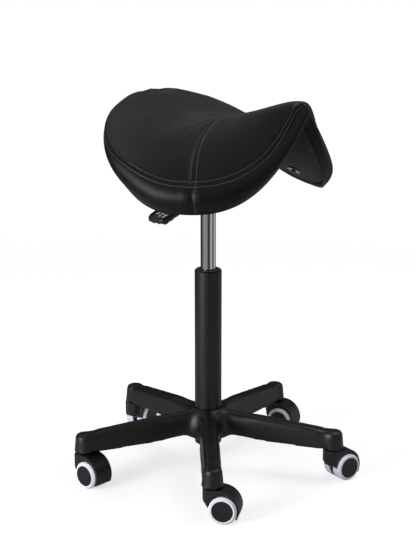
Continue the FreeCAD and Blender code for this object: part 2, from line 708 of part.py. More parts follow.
def lever_handle():
    """Moulded handle: round-ended paddle, recessed top, finger scallops and the rod's hole."""
    body = new_body("lever_handle")
    middle = size("paddle_thickness") / 2
    shape = outline(
        body, "handle_outline", "XY_Plane",
        [("0", "5 - paddle_half"), ("8", "0 - paddle_half"),
         ("paddle_length - 17", "0 - paddle_half"), ("paddle_length", "-6"),
         ("paddle_length", "6"), ("paddle_length - 17", "paddle_half"), ("8", "paddle_half"),
         ("0", "paddle_half - 5")],
        {2: ("17", 1), 4: ("17", 1)}, lift=-middle)
    pad = body.newObject("PartDesign::Pad", "handle_pad")
    pad.Profile = shape
    pad.setExpression("Length", "Sizes.paddle_thickness")
    recess = outline(
        body, "handle_recess", "XY_Plane",
        [("10", "3.5 - paddle_half"), ("paddle_length - 19", "3.5 - paddle_half"),
         ("paddle_length - 6", "-5"), ("paddle_length - 6", "5"),
         ("paddle_length - 19", "paddle_half - 3.5"), ("10", "paddle_half - 3.5")],
        {1: ("14", 1), 3: ("14", 1)}, lift=middle)
    pocket = body.newObject("PartDesign::Pocket", "handle_pocket")
    pocket.Profile = recess
    pocket.Length = 1.2
    for i in range(3):
        centre = 22.0 + 15.0 * i
        scallop = outline(
            body, "scallop_%d" % i, "XZ_Plane",
            [("%.1f" % (centre - 6), "%.2f" % -middle), ("%.1f" % (centre - 6), "-9"),
             ("%.1f" % (centre + 6), "-9"), ("%.1f" % (centre + 6), "%.2f" % -middle)],
            {3: ("8", 1)})
        cut = body.newObject("PartDesign::Pocket", "scallop_cut_%d" % i)
        cut.Profile = scallop
        cut.Type = 1
        cut.Midplane = True
    tunnel = outline(
        body, "handle_tunnel", "XZ_Plane",
        [("-1", "0"), ("%.1f" % HANDLE_GRIP, "0"), ("%.1f" % HANDLE_GRIP, "lever_radius"),
         ("-1", "lever_radius")])
    turn_feature(body, "Groove", "handle_bore", tunnel, "H_Axis")
    return body


# Saddle: its form as plain functions of the distance X along the stool

def half_width(x):
    """Half of the saddle's width at its seam: half an ellipse behind, a blunter one ahead."""
    middle = size("widest_x")
    if x < middle:
        share = (middle - x) / (size("seat_rear") + middle)
        return size("seat_half") * math.sqrt(max(1 - share ** 2, 0.0))
    share = (x - middle) / (size("seat_front") - middle + NOSE_EXTRA)
    return size("seat_half") * (1 - share ** NOSE_POWER) ** (1 / NOSE_POWER)


NOSE_EXTRA = 6.0
NOSE_POWER = 2.1
FLAP_X = 98.0
FLAP_SPREAD = 176.0
DIP_X = -40.0
CROWN = 5.0
BAND_BULGE = 8.0


def ridge_height(x):
    """Top of the saddle on its middle line: a dip between the raised rear and the nose."""
    low = size("ridge_low")
    if x < DIP_X:
        share = (DIP_X - x) / (DIP_X + size("seat_rear"))
        return low + (size("ridge_rear") - low) * share ** 2
    share = (x - DIP_X) / (size("seat_front") - DIP_X)
    return low + (size("ridge_front") - low) * share ** 1.5


def seam_height(x):
    """Height of the seam: an arch at the nose, then a slow rise from the flaps to the rear."""
    if x > FLAP_X:
        spread = min(half_width(x) / FLAP_SPREAD, 1.0)
        return size("ridge_front") - (size("ridge_front") - size("flap_edge")) * math.sin(
            math.pi / 2 * spread)
    share = (FLAP_X - x) / (FLAP_X + size("seat_rear"))
    rise = size("ridge_rear") - size("flap_edge")
    return min(size("flap_edge") + rise * share ** 1.75, ridge_height(x) - 3.0)


REAR_FOOT_X = -104.0
FOOT_TOP = 640.0


def foot_half_width(x):
    """Half width of the upholstery's lower edge: drawn in under the rear."""
    middle = size("widest_x")
    if x >= middle:
        lean = min(max((60.0 - x) / 75.0, 0.0), 1.0)
        return half_width(x) - 3.0 - 10.0 * lean
    share = (middle - x) / (middle - REAR_FOOT_X + 1.0)
    drawn = (size("seat_half") - 13.0) * math.sqrt(max(1 - share ** 2, 0.0))
    return max(drawn, 0.5 * half_width(x))


def foot_height(x):
    """Height of the upholstery's lower edge."""
    if x > FLAP_X:
        spread = min(foot_half_width(x) / FLAP_SPREAD, 1.0)
        top = size("ridge_front") - size("pad_front")
        return top - (top - size("flap_foot")) * math.sin(math.pi / 2 * spread)
    share = (FLAP_X - x) / 205.0
    level = min(size("flap_foot") + 138.0 * share ** 2.4, FOOT_TOP)
    if x >= REAR_FOOT_X:
        return level
    climb = (REAR_FOOT_X - x) / (size("seat_rear") + REAR_FOOT_X)
    return level + (seam_height(x) - level) * climb ** 1.5 * 0.8


def underside_ridge(x):
    """Height of the underside on the middle line."""
    share = min(max((size("seat_front") - x) / 150.0, 0.0), 1.0)
    pad = size("pad_front") + (size("pad_middle") - size("pad_front")) * share
    return max(ridge_height(x) - pad, foot_height(x) + 4.0)


def between(x, stations):
    """A value read off straight lines between (x, value) stations, from front to rear."""
    for (x0, v0), (x1, v1) in zip(stations, stations[1:]):
        if x >= x1:
            return v0 + (v1 - v0) * min(max((x0 - x) / (x0 - x1), 0.0), 1.0)
    return stations[-1][1]


TOP_ROUNDING = [(211.0, 26.0), (98.0, 60.0), (-15.0, 120.0), (-142.0, 200.0)]
LOW_ROUNDING = [(211.0, 12.0), (98.0, 40.0), (-15.0, 90.0), (-142.0, 150.0)]


def roof(ridge, rounding, half, drop):
    """A round ridge with straight flanks: the point where the flank leaves the round."""
    rounding = min(rounding, 0.8 * (half ** 2 + drop ** 2) / (2 * drop))
    lean = math.atan2(half, rounding - drop) - math.acos(
        rounding / math.hypot(half, rounding - drop))
    return V(0, rounding * math.sin(lean), ridge - rounding * (1 - math.cos(lean))), lean


def at(x, y, z):
    """A point of the section at X."""
    return V(x, y, z)


def arc(first, middle, last):
    """An arc edge through three points."""
    return Part.Arc(first, middle, last).toShape()


def bowed(first, last, sagitta):
    """An arc edge that stands out of its chord by the sagitta, to the left of its way."""
    chord = last - first
    across = V(0, -chord.z, chord.y).normalize()
    return arc(first, (first + last) * 0.5 + across * sagitta, last)


def mirrored(point):
    """The same point on the saddle's other side."""
    return V(point.x, -point.y, point.z)


def cushion_section(x, at_x, shrink):
    """Closed section of the upholstery, drawn in by shrink and placed at at_x."""
    half = half_width(x) - shrink
    seam = seam_height(x) - shrink * 0.5
    ridge = ridge_height(x) - shrink
    foot_half = foot_half_width(x) - shrink * 0.6
    foot = foot_height(x) + shrink * 0.6
    low_ridge = underside_ridge(x) + shrink * 0.6
    leave, _ = roof(ridge, between(x, TOP_ROUNDING), half, ridge - seam)
    enter, _ = roof(low_ridge, between(x, LOW_ROUNDING), foot_half, low_ridge - foot)
    top = at(at_x, leave.y, leave.z)
    edge = at(at_x, half, seam)
    hem = at(at_x, foot_half, foot)
    low = at(at_x, enter.y, enter.z)
    bulge = min(BAND_BULGE, (edge - hem).Length * 0.2)
    crown = min(CROWN, (edge - top).Length * 0.06)
    return Part.Wire([
        arc(mirrored(top), at(at_x, 0, ridge), top),
        bowed(top, edge, crown),
        bowed(edge, hem, bulge),
        Part.makeLine(hem, low),
        arc(low, at(at_x, 0, low_ridge), mirrored(low)),
        Part.makeLine(mirrored(low), mirrored(hem)),
        bowed(mirrored(hem), mirrored(edge), bulge),
        bowed(mirrored(edge), mirrored(top), crown),
    ])


def shell_section(x, upper, lower, inset):
    """Closed section of a shell that follows the underside, between two rises above it."""
    foot_half = foot_half_width(x)
    ridge = underside_ridge(x)
    enter, lean = roof(ridge, between(x, LOW_ROUNDING), foot_half, ridge - foot_height(x))
    reach = foot_half - inset
    end_z = enter.z - (reach - enter.y) * math.tan(lean)
    high = V(0, 0, upper)
    deep = V(0, 0, lower)
    crest = at(x, 0, ridge)
    turn = at(x, enter.y, enter.z)
    end = at(x, reach, end_z)
    return Part.Wire([
        arc(mirrored(turn) + high, crest + high, turn + high),
        Part.makeLine(turn + high, end + high),
        Part.makeLine(end + high, end + deep),
        Part.makeLine(end + deep, turn + deep),
        arc(turn + deep, crest + deep, mirrored(turn) + deep),
        Part.makeLine(mirrored(turn) + deep, mirrored(end) + deep),
        Part.makeLine(mirrored(end) + deep, mirrored(end) + high),
        Part.makeLine(mirrored(end) + high, mirrored(turn) + high),
    ])


CUSHION_STATIONS = (200.0, 172.0, 125.0, 70.0, 0.0, -60.0, -100.0, -125.0)
SHELL_STATIONS = (202.0, 172.0, 120.0, 60.0, 0.0, -50.0, -75.0, -88.0)


def shell_loft(upper, lower, inset, front, rear):
    """A loft of shell sections between two ends."""
    places = [front] + [x for x in SHELL_STATIONS if rear < x < front] + [rear]
    return Part.makeLoft([shell_section(x, upper, lower, inset) for x in places], True, True)


def underside_at(x, y):
    """Height of the underside at a place, on its round ridge or on a flank."""
    ridge = underside_ridge(x)
    enter, lean = roof(ridge, between(x, LOW_ROUNDING), foot_half_width(x),
                       ridge - foot_height(x))
    if abs(y) < enter.y:
        rounding = enter.y / math.sin(lean)
        return ridge - rounding + math.sqrt(rounding ** 2 - y ** 2)
    return enter.z - (abs(y) - enter.y) * math.tan(lean)


BLOCK_FRONT = 72.0
BLOCK_REAR = -78.0
BLOCK_HALF = 66.0
BLOCK_WALL = 4.0
BLOCK_BOSS = 9.0


def pan_inside(x, y):
    """A height within the pan's thickness, where the block's walls end."""
    return underside_at(x, y) + size("board_rise") - 0.5 - size("pan_thickness") / 2


def wall_along(y):
    """A wall of the mounting block along the stool, its middle plane at y."""
    foot = size("block_foot")
    steps = [BLOCK_REAR + (BLOCK_FRONT - BLOCK_REAR) * i / 6 for i in range(7)]
    side = y - BLOCK_WALL / 2
    crest = [V(x, side, pan_inside(x, y)) for x in reversed(steps)]
    points = [V(BLOCK_REAR, side, foot), V(BLOCK_FRONT, side, foot)] + crest
    return Part.Face(Part.makePolygon(points + points[:1])).extrude(V(0, BLOCK_WALL, 0))


def wall_across(x):
    """A wall of the mounting block across the stool, its middle plane at x."""
    foot = size("block_foot")
    steps = (-66.0, -44.0, -26.0, -12.0, 0.0, 12.0, 26.0, 44.0, 66.0)
    side = x - BLOCK_WALL / 2
    crest = [V(side, y, pan_inside(x, y)) for y in reversed(steps)]
    points = [V(side, -BLOCK_HALF, foot), V(side, BLOCK_HALF, foot)] + crest
    return Part.Face(Part.makePolygon(points + points[:1])).extrude(V(BLOCK_WALL, 0, 0))


def boss(x, y):
    """A round boss for a seat bolt, cut off aslant inside the pan's thickness."""
    foot = size("block_foot")
    ends = []
    for at_x in (x - BLOCK_BOSS, x + BLOCK_BOSS):
        low, high = y - BLOCK_BOSS, y + BLOCK_BOSS
        ends.append(Part.makePolygon([
            V(at_x, low, foot), V(at_x, high, foot), V(at_x, high, pan_inside(at_x, high)),
            V(at_x, low, pan_inside(at_x, low)), V(at_x, low, foot)]))
    stack = Part.makeLoft(ends, True, True)
    return stack.common(Part.makeCylinder(BLOCK_BOSS, 100.0, V(x, y, foot)))


def mounting_block():
    """Upright walls, ribs and bosses that stand between the seat plate and the pan."""
    edge = BLOCK_HALF - BLOCK_WALL / 2
    pieces = [wall_along(y) for y in (-edge, -20.0, 20.0, edge)]
    ends = (BLOCK_REAR + BLOCK_WALL / 2, (BLOCK_FRONT + BLOCK_REAR) / 2,
            BLOCK_FRONT - BLOCK_WALL / 2)
    pieces += [wall_across(x) for x in ends]
    return pieces + [boss(x, y) for x, y in BOLT_PLACES]


def saddle():
    """Upholstery, plywood board, and the moulded pan with its mounting block."""
    front = size("seat_front")
    rear = -size("seat_rear")
    wires = [cushion_section(front, front + 2.0, 6.0), cushion_section(front, front - 0.5, 0.8)]
    wires += [cushion_section(x, x, 0.0) for x in CUSHION_STATIONS]
    wires += [cushion_section(rear + 4.0, rear + 4.0, 0.0)]
    cushion = Part.makeLoft(wires, True, False)
    board_top = size("board_rise") + size("board_thickness")
    inset = size("board_inset")
    cavity = shell_loft(board_top + 0.4, -40.0, inset - 1.5, 203.5, -90.0)
    cushion = cushion.cut(cavity)

    board = shell_loft(board_top, size("board_rise"), inset, 202.0, -88.0)
    pan = shell_loft(size("board_rise") - 0.1, size("board_rise") - 0.1 - size("pan_thickness"),
                     inset - 0.6, 202.5, -88.5)
    pan = pan.multiFuse(mounting_block())
    foot = size("block_foot")
    for x, y in BOLT_PLACES:
        bore = Part.makeCylinder(size("bolt_hole_radius"), 614.0 - foot + 4, V(x, y, foot - 4))
        pan = pan.cut(bore)
        board = board.cut(bore)
    for place in pan_screw_places():
        hole = Part.makeCylinder(2.6, 12.0, V(0, 0, -1.0))
        hole.Placement = place
        pan = pan.cut(hole)
        board = board.cut(hole)
    set_in_code("seat_cushion", cushion)
    set_in_code("seat_board", board)
    set_in_code("seat_pan", pan)


PAN_SCREWS = [(104.0, -118.0), (104.0, 118.0), (-40.0, -128.0), (-40.0, 128.0)]


def pan_screw_places():
    """Placements of the screws that hold the pan, their local Z up into the board."""
    places = []
    drop = size("board_rise") - 0.1 - size("pan_thickness")
    for x, y in PAN_SCREWS:
        z = underside_at(x, y) + drop
        along = V(2, 0, underside_at(x + 1, y) - underside_at(x - 1, y))
        across = V(0, 2, underside_at(x, y + 1) - underside_at(x, y - 1))
        normal = along.cross(across).normalize()
        places.append(FreeCAD.Placement(V(x, y, z), FreeCAD.Rotation(UP, normal)))
    return places


def fixings():
    """Bolts and washers of the seat plate, screws and washers of the pan."""
    bolts = []
    washers = []
    face = size("plate_bottom")
    for i, (x, y) in enumerate(BOLT_PLACES):
        shank = primitive("Cylinder", "bolt_shank_%d" % i,
                          FreeCAD.Placement(V(x, y, face - 1.6), FreeCAD.Rotation()),
                          Radius="bolt_radius", Height="38")
        head = primitive("Prism", "bolt_head_%d" % i,
                         FreeCAD.Placement(V(x, y, face - 6.9), FreeCAD.Rotation()),
                         Circumradius="7.5", Height="5.3")
        head.Polygon = 6
        bolts.append(boolean("Fuse", "bolt_%d" % i, head, shank))
        disc = primitive("Cylinder", "bolt_washer_disc_%d" % i,
                         FreeCAD.Placement(V(x, y, face - 1.6), FreeCAD.Rotation()),
                         Radius="9", Height="1.6")
        bore = primitive("Cylinder", "bolt_washer_bore_%d" % i, disc.Placement,
                         Radius="bolt_hole_radius", Height="1.6")
        washers.append(boolean("Cut", "bolt_washer_%d" % i, disc, bore))
    group("plate_bolts", bolts)
    group("plate_washers", washers)

    screws = []
    rings = []
    for i, place in enumerate(pan_screw_places()):
        down = FreeCAD.Placement(V(0, 0, -1.9), FreeCAD.Rotation())
        disc = primitive("Cylinder", "pan_washer_disc_%d" % i, place * down,
                         Radius="12.5", Height="1.6")
        bore = primitive("Cylinder", "pan_washer_bore_%d" % i, disc.Placement,
                         Radius="2.6", Height="1.6")
        rings.append(boolean("Cut", "pan_washer_%d" % i, disc, bore))
        head_place = place * FreeCAD.Placement(V(0, 0, -5.0), FreeCAD.Rotation())
        head = primitive("Cylinder", "screw_head_%d" % i, head_place,
                         Radius="4.2", Height="3.1")
        shank = primitive("Cylinder", "screw_shank_%d" % i,
                          place * FreeCAD.Placement(V(0, 0, -1.9), FreeCAD.Rotation()),
                          Radius="2.5", Height="12")
        screws.append(boolean("Fuse", "pan_screw_%d" % i, head, shank))
    group("pan_screws", screws)
    group("pan_washers", rings)


def place_handle(body, grip, out):
    """Set the handle on the end of the rod, in line with it."""
    sideways = V(-1, 0, 0)
    turn = FreeCAD.Rotation(out, sideways, out.cross(sideways), "XYZ")
    if turn.multVec(UP).z < 0:
        turn = FreeCAD.Rotation(out, -sideways, out.cross(-sideways), "XYZ")
    body.Placement = FreeCAD.Placement(grip, turn)


base_star()
column()
casters()
seat_plate()
lift_housing()
grip_end, rod_way = lever()
place_handle(lever_handle(), grip_end, rod_way)
saddle()
fixings()
doc.recompute()

# Every object has to be sound before anything is written
faults = []
for item in doc.Objects:
    if "Invalid" in item.State or "Error" in item.State:
        faults.append("%s: %s" % (item.Label, item.State))
for item in parts:
    if item.Shape.isNull() or not item.Shape.isValid():
        faults.append("%s: no valid shape" % item.Label)
if faults:
    raise RuntimeError("; ".join(faults))

os.makedirs("parts", exist_ok=True)
for item in parts:
    item.Shape.exportStep("parts/%s.step" % item.Label)
print("%d sub-parts" % len(parts))
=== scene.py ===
import math

import bmesh
import bpy
import numpy as np
from mathutils import Matrix, Vector
from mathutils.bvhtree import BVHTree


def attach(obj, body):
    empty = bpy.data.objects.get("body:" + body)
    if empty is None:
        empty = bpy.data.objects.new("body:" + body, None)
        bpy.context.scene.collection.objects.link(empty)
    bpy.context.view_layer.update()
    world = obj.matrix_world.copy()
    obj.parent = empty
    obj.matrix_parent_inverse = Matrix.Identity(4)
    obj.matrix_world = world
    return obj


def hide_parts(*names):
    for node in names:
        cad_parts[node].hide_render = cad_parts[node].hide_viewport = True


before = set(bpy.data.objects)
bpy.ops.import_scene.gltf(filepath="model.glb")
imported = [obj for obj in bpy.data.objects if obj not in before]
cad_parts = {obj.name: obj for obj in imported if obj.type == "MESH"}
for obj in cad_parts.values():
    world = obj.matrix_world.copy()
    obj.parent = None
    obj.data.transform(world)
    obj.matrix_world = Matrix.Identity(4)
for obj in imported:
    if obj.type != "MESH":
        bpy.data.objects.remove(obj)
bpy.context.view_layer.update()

MM = 0.001
TAU = 2 * math.pi
WHITE = (1.0, 1.0, 1.0, 1.0)
BLACK = (0.0, 0.0, 0.0, 1.0)


# Camera of the photograph: it looks down on the stool from its front right.
# Distances are in metres, and the lens is in millimetres on a 36 mm wide frame.

CAMERA_TURN = math.radians(41.4)
CAMERA_PITCH = math.radians(14.85)
CAMERA_REACH = 2.4018
CAMERA_SIDE = -0.0003
CAMERA_HEIGHT = 1.0063
CAMERA_LENS = 87.68


def add_camera():
    """The photograph's camera, set back from the column's axis by its reach.

    Its right is level, its look is the level way ahead leaned down by the pitch, and its up
    is the right crossed with the look.
    """
    data = bpy.data.cameras.new("photo_camera")
    data.lens = CAMERA_LENS
    data.sensor_width = 36.0
    data.clip_start = 0.05
    camera = bpy.data.objects.new("photo_camera", data)
    bpy.context.collection.objects.link(camera)
    right = Vector((math.cos(CAMERA_TURN), math.sin(CAMERA_TURN), 0))
    away = Vector((-math.sin(CAMERA_TURN), math.cos(CAMERA_TURN), 0))
    look = away * math.cos(CAMERA_PITCH) - Vector((0, 0, 1)) * math.sin(CAMERA_PITCH)
    up = right.cross(look)
    place = right * CAMERA_SIDE - away * CAMERA_REACH + Vector((0, 0, CAMERA_HEIGHT))
    turn = Matrix((right, up, -look)).transposed().to_4x4()
    camera.matrix_world = Matrix.Translation(place) @ turn
    bpy.context.scene.camera = camera


# Nodes and materials

def linear(code):
    """A hex colour of the screen as linear light, with an alpha of 1.

    A dark channel is divided by 12.92. Any other is raised by 0.055, divided by 1.055 and
    taken to the power 2.4.
    """
    channels = [int(code[i:i + 2], 16) / 255 for i in (1, 3, 5)]
    return tuple(c / 12.92 if c <= 0.04045 else ((c + 0.055) / 1.055) ** 2.4
                 for c in channels) + (1.0,)


def add_node(tree, kind, inputs=None, give=None, **settings):
    """A node with its settings, each input given a plain value or linked to an output.

    It gives back its own output of that name or number, or else the node itself.
    """
    node = tree.nodes.new(kind)
    for key, value in settings.items():
        setattr(node, key, value)
    for key, value in (inputs or {}).items():
        if isinstance(value, bpy.types.NodeSocket):
            tree.links.new(value, node.inputs[key])
        else:
            node.inputs[key].default_value = value
    return node if give is None else node.outputs[give]


def new_material(name, finish, *values):
    """A material of one surface shader, whose inputs its finish works out in the node tree."""
    material = bpy.data.materials.new(name)
    material.use_nodes = True
    tree = material.node_tree
    tree.nodes.clear()
    surface = add_node(tree, "ShaderNodeBsdfPrincipled", finish(tree, *values), "BSDF")
    add_node(tree, "ShaderNodeOutputMaterial", {"Surface": surface})
    return material


def coated_leather(tree):
    """Leather, coated black and embossed: a satin skin of small pebbles, duller in between.

    The relief is highest at each pebble's middle, plus a third of a fine noise for the pores.
    Roughness falls where the relief and the 60 mm clouds of the coat rise. Painted shade turns the
    folds at the seams almost black. Real pebbles are about 0.8 mm across and pores 0.1 mm. They are
    drawn at 1.5 and 0.5 mm so that they show.
    """
    place = add_node(tree, "ShaderNodeTexCoord", give="Object")
    pebbles = add_node(tree, "ShaderNodeTexVoronoi", {"Vector": place, "Scale": 1 / (1.5 * MM)},
                       "Distance", feature="SMOOTH_F1")
    pores = add_node(tree, "ShaderNodeTexNoise",
                     {"Vector": place, "Scale": 1 / (0.5 * MM), "Detail": 2.0}, "Fac")
    clouds = add_node(tree, "ShaderNodeTexNoise",
                      {"Vector": place, "Scale": 1 / (60.0 * MM), "Detail": 3.0}, "Fac")
    domes = add_node(tree, "ShaderNodeMapRange",
                     {"Value": pebbles, "From Max": 0.7, "To Min": 1.0, "To Max": 0.0}, "Result")
    relief = add_node(tree, "ShaderNodeMath", {0: pores, 1: 0.35, 2: domes}, "Value",
                      operation="MULTIPLY_ADD")
    faded = add_node(tree, "ShaderNodeMapRange",
                     {"Value": clouds, "From Min": 0.3, "From Max": 0.7}, "Result")
    coat = add_node(tree, "ShaderNodeMix",
                    {"Factor": faded, 6: linear("#09090A"), 7: linear("#0E0E0F")}, 2,
                    data_type="RGBA")
    # Painted shade: the seams' grooves and stitch rows darken towards #030303
    painted_fold_shade = add_node(tree, "ShaderNodeAttribute", give="Fac", attribute_name="seam_shade")
    colour = add_node(tree, "ShaderNodeMix", {"Factor": painted_fold_shade, 6: coat, 7: linear("#030303")}, 2,
                      data_type="RGBA")
    polish = add_node(tree, "ShaderNodeMath", {0: relief, 1: 0.3, 2: clouds}, "Value",
                      operation="MULTIPLY_ADD")
    sheen = add_node(tree, "ShaderNodeMapRange",
                     {"Value": polish, "From Min": 0.3, "From Max": 1.1,
                      "To Min": 0.47, "To Max": 0.37}, "Result")
    grain = add_node(tree, "ShaderNodeBump",
                     {"Height": relief, "Distance": 0.10 * MM, "Strength": 0.55}, "Normal")
    return {"Base Color": colour, "Roughness": sheen, "Normal": grain,
            "Specular IOR Level": 0.22}


def moulded_plastic(tree, code, roughness, pit, depth, specular):
    """Plastic from a spark-eroded mould: fine pits soften its shine, with faint flow marks.

    A noise as wide as a pit lifts the bump. A 45 mm noise, the plastic's flow, mixes in a
    lighter shade and moves the roughness a little. Real pits are about 0.1 mm wide. They are
    drawn at 0.5 to 0.8 mm so that they show.
    """
    place = add_node(tree, "ShaderNodeTexCoord", give="Object")
    pits = add_node(tree, "ShaderNodeTexNoise",
                    {"Vector": place, "Scale": 1 / (pit * MM), "Detail": 2.0}, "Fac")
    flow = add_node(tree, "ShaderNodeTexNoise",
                    {"Vector": place, "Scale": 1 / (45.0 * MM), "Detail": 2.0}, "Fac")
    marks = add_node(tree, "ShaderNodeMapRange",
                     {"Value": flow, "From Min": 0.35, "From Max": 0.65}, "Result")
    shade = linear(code)
    lighter = tuple(channel * 1.35 for channel in shade[:3]) + (1.0,)
    colour = add_node(tree, "ShaderNodeMix", {"Factor": marks, 6: shade, 7: lighter}, 2,
                      data_type="RGBA")
    gloss = add_node(tree, "ShaderNodeMapRange",
                     {"Value": flow, "From Min": 0.3, "From Max": 0.7,
                      "To Min": roughness - 0.04, "To Max": roughness + 0.05}, "Result")
    texture = add_node(tree, "ShaderNodeBump",
                       {"Height": pits, "Distance": depth * MM, "Strength": 0.5}, "Normal")
    return {"Base Color": colour, "Roughness": gloss, "Normal": texture,
            "Specular IOR Level": specular}


def beech_plywood(tree):
    """Sawn beech plywood: long pale grain with short dark flecks.

    Two noises stretched along X, 2.2 mm wide for the grain and 1 mm for the flecks, are added
    and mix the pale wood with the dark.
    """
    place = add_node(tree, "ShaderNodeTexCoord", give="Object")
    long_way = add_node(tree, "ShaderNodeMapping", {"Vector": place, "Scale": (0.08, 1, 1)},
                        "Vector")
    short_way = add_node(tree, "ShaderNodeMapping", {"Vector": place, "Scale": (0.3, 1, 1)},
                         "Vector")
    grain = add_node(tree, "ShaderNodeTexNoise",
                     {"Vector": long_way, "Scale": 1 / (2.2 * MM), "Detail": 4.0}, "Fac")
    flecks = add_node(tree, "ShaderNodeTexNoise",
                      {"Vector": short_way, "Scale": 1 / (1.0 * MM), "Detail": 1.0}, "Fac")
    dark = add_node(tree, "ShaderNodeMapRange",
                    {"Value": flecks, "From Min": 0.6, "From Max": 0.75, "To Max": 0.4},
                    "Result")
    share = add_node(tree, "ShaderNodeMath", {0: grain, 1: dark}, "Value", operation="ADD")
    colour = add_node(tree, "ShaderNodeMix",
                      {"Factor": share, 6: linear("#C9A577"), 7: linear("#A77B4C")}, 2,
                      data_type="RGBA")
    fibres = add_node(tree, "ShaderNodeBump",
                      {"Height": grain, "Distance": 0.05 * MM, "Strength": 0.4}, "Normal")
    return {"Base Color": colour, "Roughness": 0.6, "Normal": fibres}


def mottled(tree, grain, detail, shares, codes, gloss, relief, stretch, fixed):
    """A finish that one noise varies, with its grain in millimetres and a stretch per axis.

    Noise from shares[0] to shares[1] mixes the two colours by up to shares[2]. Noise from 0.3
    to 0.7 moves the roughness from gloss[0] to gloss[1]. The noise lifts the bump by relief's
    depth in millimetres and strength. A single colour or roughness is set as it stands.
    """
    place = add_node(tree, "ShaderNodeTexCoord", give="Object")
    place = add_node(tree, "ShaderNodeMapping", {"Vector": place, "Scale": stretch}, "Vector")
    noise = add_node(tree, "ShaderNodeTexNoise",
                     {"Vector": place, "Scale": 1 / (grain * MM), "Detail": detail}, "Fac")
    inputs = dict(fixed)
    inputs["Base Color"] = linear(codes[0])
    inputs["Roughness"] = gloss[0]
    if len(codes) > 1:
        share = add_node(tree, "ShaderNodeMapRange",
                         {"Value": noise, "From Min": shares[0], "From Max": shares[1],
                          "To Max": shares[2]}, "Result")
        inputs["Base Color"] = add_node(
            tree, "ShaderNodeMix", {"Factor": share, 6: linear(codes[0]), 7: linear(codes[1])}, 2,
            data_type="RGBA")
    if len(gloss) > 1:
        inputs["Roughness"] = add_node(tree, "ShaderNodeMapRange",
                                       {"Value": noise, "From Min": 0.3, "From Max": 0.7,
                                        "To Min": gloss[0], "To Max": gloss[1]}, "Result")
    if relief:
        inputs["Normal"] = add_node(tree, "ShaderNodeBump",
                                    {"Height": noise, "Distance": relief[0] * MM,
                                     "Strength": relief[1]}, "Normal")
    return inputs


EVEN = (1, 1, 1)
MOTTLED = {
    # Powder coat on steel: the fine orange peel of paint that ran as it was baked
    "black_paint": (1.6, 2.0, (), ("#0B0B0C",), (0.36, 0.42), (0.03, 0.6), EVEN, {}),
    # Hard chrome, ground and polished: a bright mirror with faint upright lines. Real lines
    # are finer than 0.1 mm, and are drawn at 0.6 mm so that they show
    "chrome_steel": (0.6, 2.0, (), ("#DADCE0",), (0.05, 0.11), (0.004, 0.4), (1, 1, 0.02),
                     {"Metallic": 1.0}),
    # Zinc-plated steel, barrel plated: small grey clouds, dull and bright
    "plain_steel": (3.0, 3.0, (0.0, 1.0, 1.0), ("#9DA0A3", "#C4C6C8"), (0.24, 0.38), None, EVEN,
                    {"Metallic": 1.0}),
    # Cast polyurethane of the tyres: pale and slightly milky, a little greyed where it rolls
    "soft_tyre": (7.0, 4.0, (0.4, 0.75, 0.5), ("#ECEAF8", "#D6D4E3"), (0.42, 0.52), (0.05, 0.3),
                  EVEN, {"Subsurface Weight": 0.08, "Subsurface Radius": (0.004, 0.003, 0.003)}),
    # Moulded nitrile rubber of the seal and the stop: a dull, dusty black
    "black_rubber": (2.0, 3.0, (), ("#1A1A1A",), (0.6, 0.75), (0.04, 0.4), EVEN, {}),
    # Turned acetal of the piston: a smooth, waxy off-white
    "white_acetal": (5.0, 3.0, (0.0, 1.0, 1.0), ("#E6E4DE", "#D8D5CC"), (0.3,), None, EVEN, {}),
    # Pad-printed ink of the sign: white, thin where it is worn
    "white_print": (0.8, 3.0, (0.55, 0.7, 0.5), ("#F2F2F2", "#B5B5B5"), (0.5,), None, EVEN, {}),
    # Waxed polyester thread, twisted, black: drawn dark grey with lighter turns 0.5 mm apart as
    # painted highlights, so that it shows
    "black_thread": (0.5, 1.0, (0.0, 1.0, 1.0), ("#3C3C3F", "#5E5E62"), (0.42,), (0.05, 0.6),
                     EVEN, {}),
}


# Meshes: points are in millimetres

def mesh_object(name, points, faces, material, smooth=True):
    """An object of plain points, in millimetres, and faces."""
    mesh = bpy.data.meshes.new(name)
    mesh.from_pydata((np.asarray(points) * MM).tolist(), [], [list(f) for f in faces])
    mesh.polygons.foreach_set("use_smooth", [smooth] * len(mesh.polygons))
    if material:
        mesh.materials.append(material)
    mesh.update()
    item = bpy.data.objects.new(name, mesh)
    bpy.context.collection.objects.link(item)
    return item


def grid_faces(rows, columns):
    """Quads between neighbouring rows and columns of a grid that closes round its columns."""
    i, j = np.meshgrid(np.arange(rows - 1), np.arange(columns), indexing="ij")
    k = (j + 1) % columns
    return np.stack([i * columns + j, (i + 1) * columns + j,
                     (i + 1) * columns + k, i * columns + k], axis=-1).reshape(-1, 4)


def poled_faces(rows, columns):
    """Faces of a closed grid, with triangles from a pole before its first and past its last row.

    The two poles are the points that follow the grid's own.
    """
    count = rows * columns
    last = count - columns
    j = np.arange(columns)
    k = (j + 1) % columns
    first_fan = np.stack([np.full(columns, count), j, k], axis=-1)
    last_fan = np.stack([np.full(columns, count + 1), last + k, last + j], axis=-1)
    fans = np.stack([first_fan, last_fan], axis=1).reshape(-1, 3)
    return grid_faces(rows, columns).tolist() + fans.tolist()


def closed_sweep(rows):
    """Points and faces of a tube of equal rows of points, closed by a flat cap at each end."""
    count, sides = len(rows), len(rows[0])
    faces = grid_faces(count, sides).tolist()
    faces.append(list(range(sides)))
    faces.append([(count - 1) * sides + j for j in range(sides)][::-1])
    return np.concatenate(rows), faces


def joined(forms):
    """Points and faces of several forms as one: each form's faces count on from the last's."""
    starts = np.cumsum([0] + [len(points) for points, _ in forms]).tolist()
    faces = [[start + index for index in face]
             for start, (_, some) in zip(starts, forms) for face in some]
    return np.concatenate([points for points, _ in forms]), faces


def unit(ways):
    """Ways divided by their own lengths."""
    return ways / np.maximum(np.linalg.norm(ways, axis=-1, keepdims=True), 1e-9)


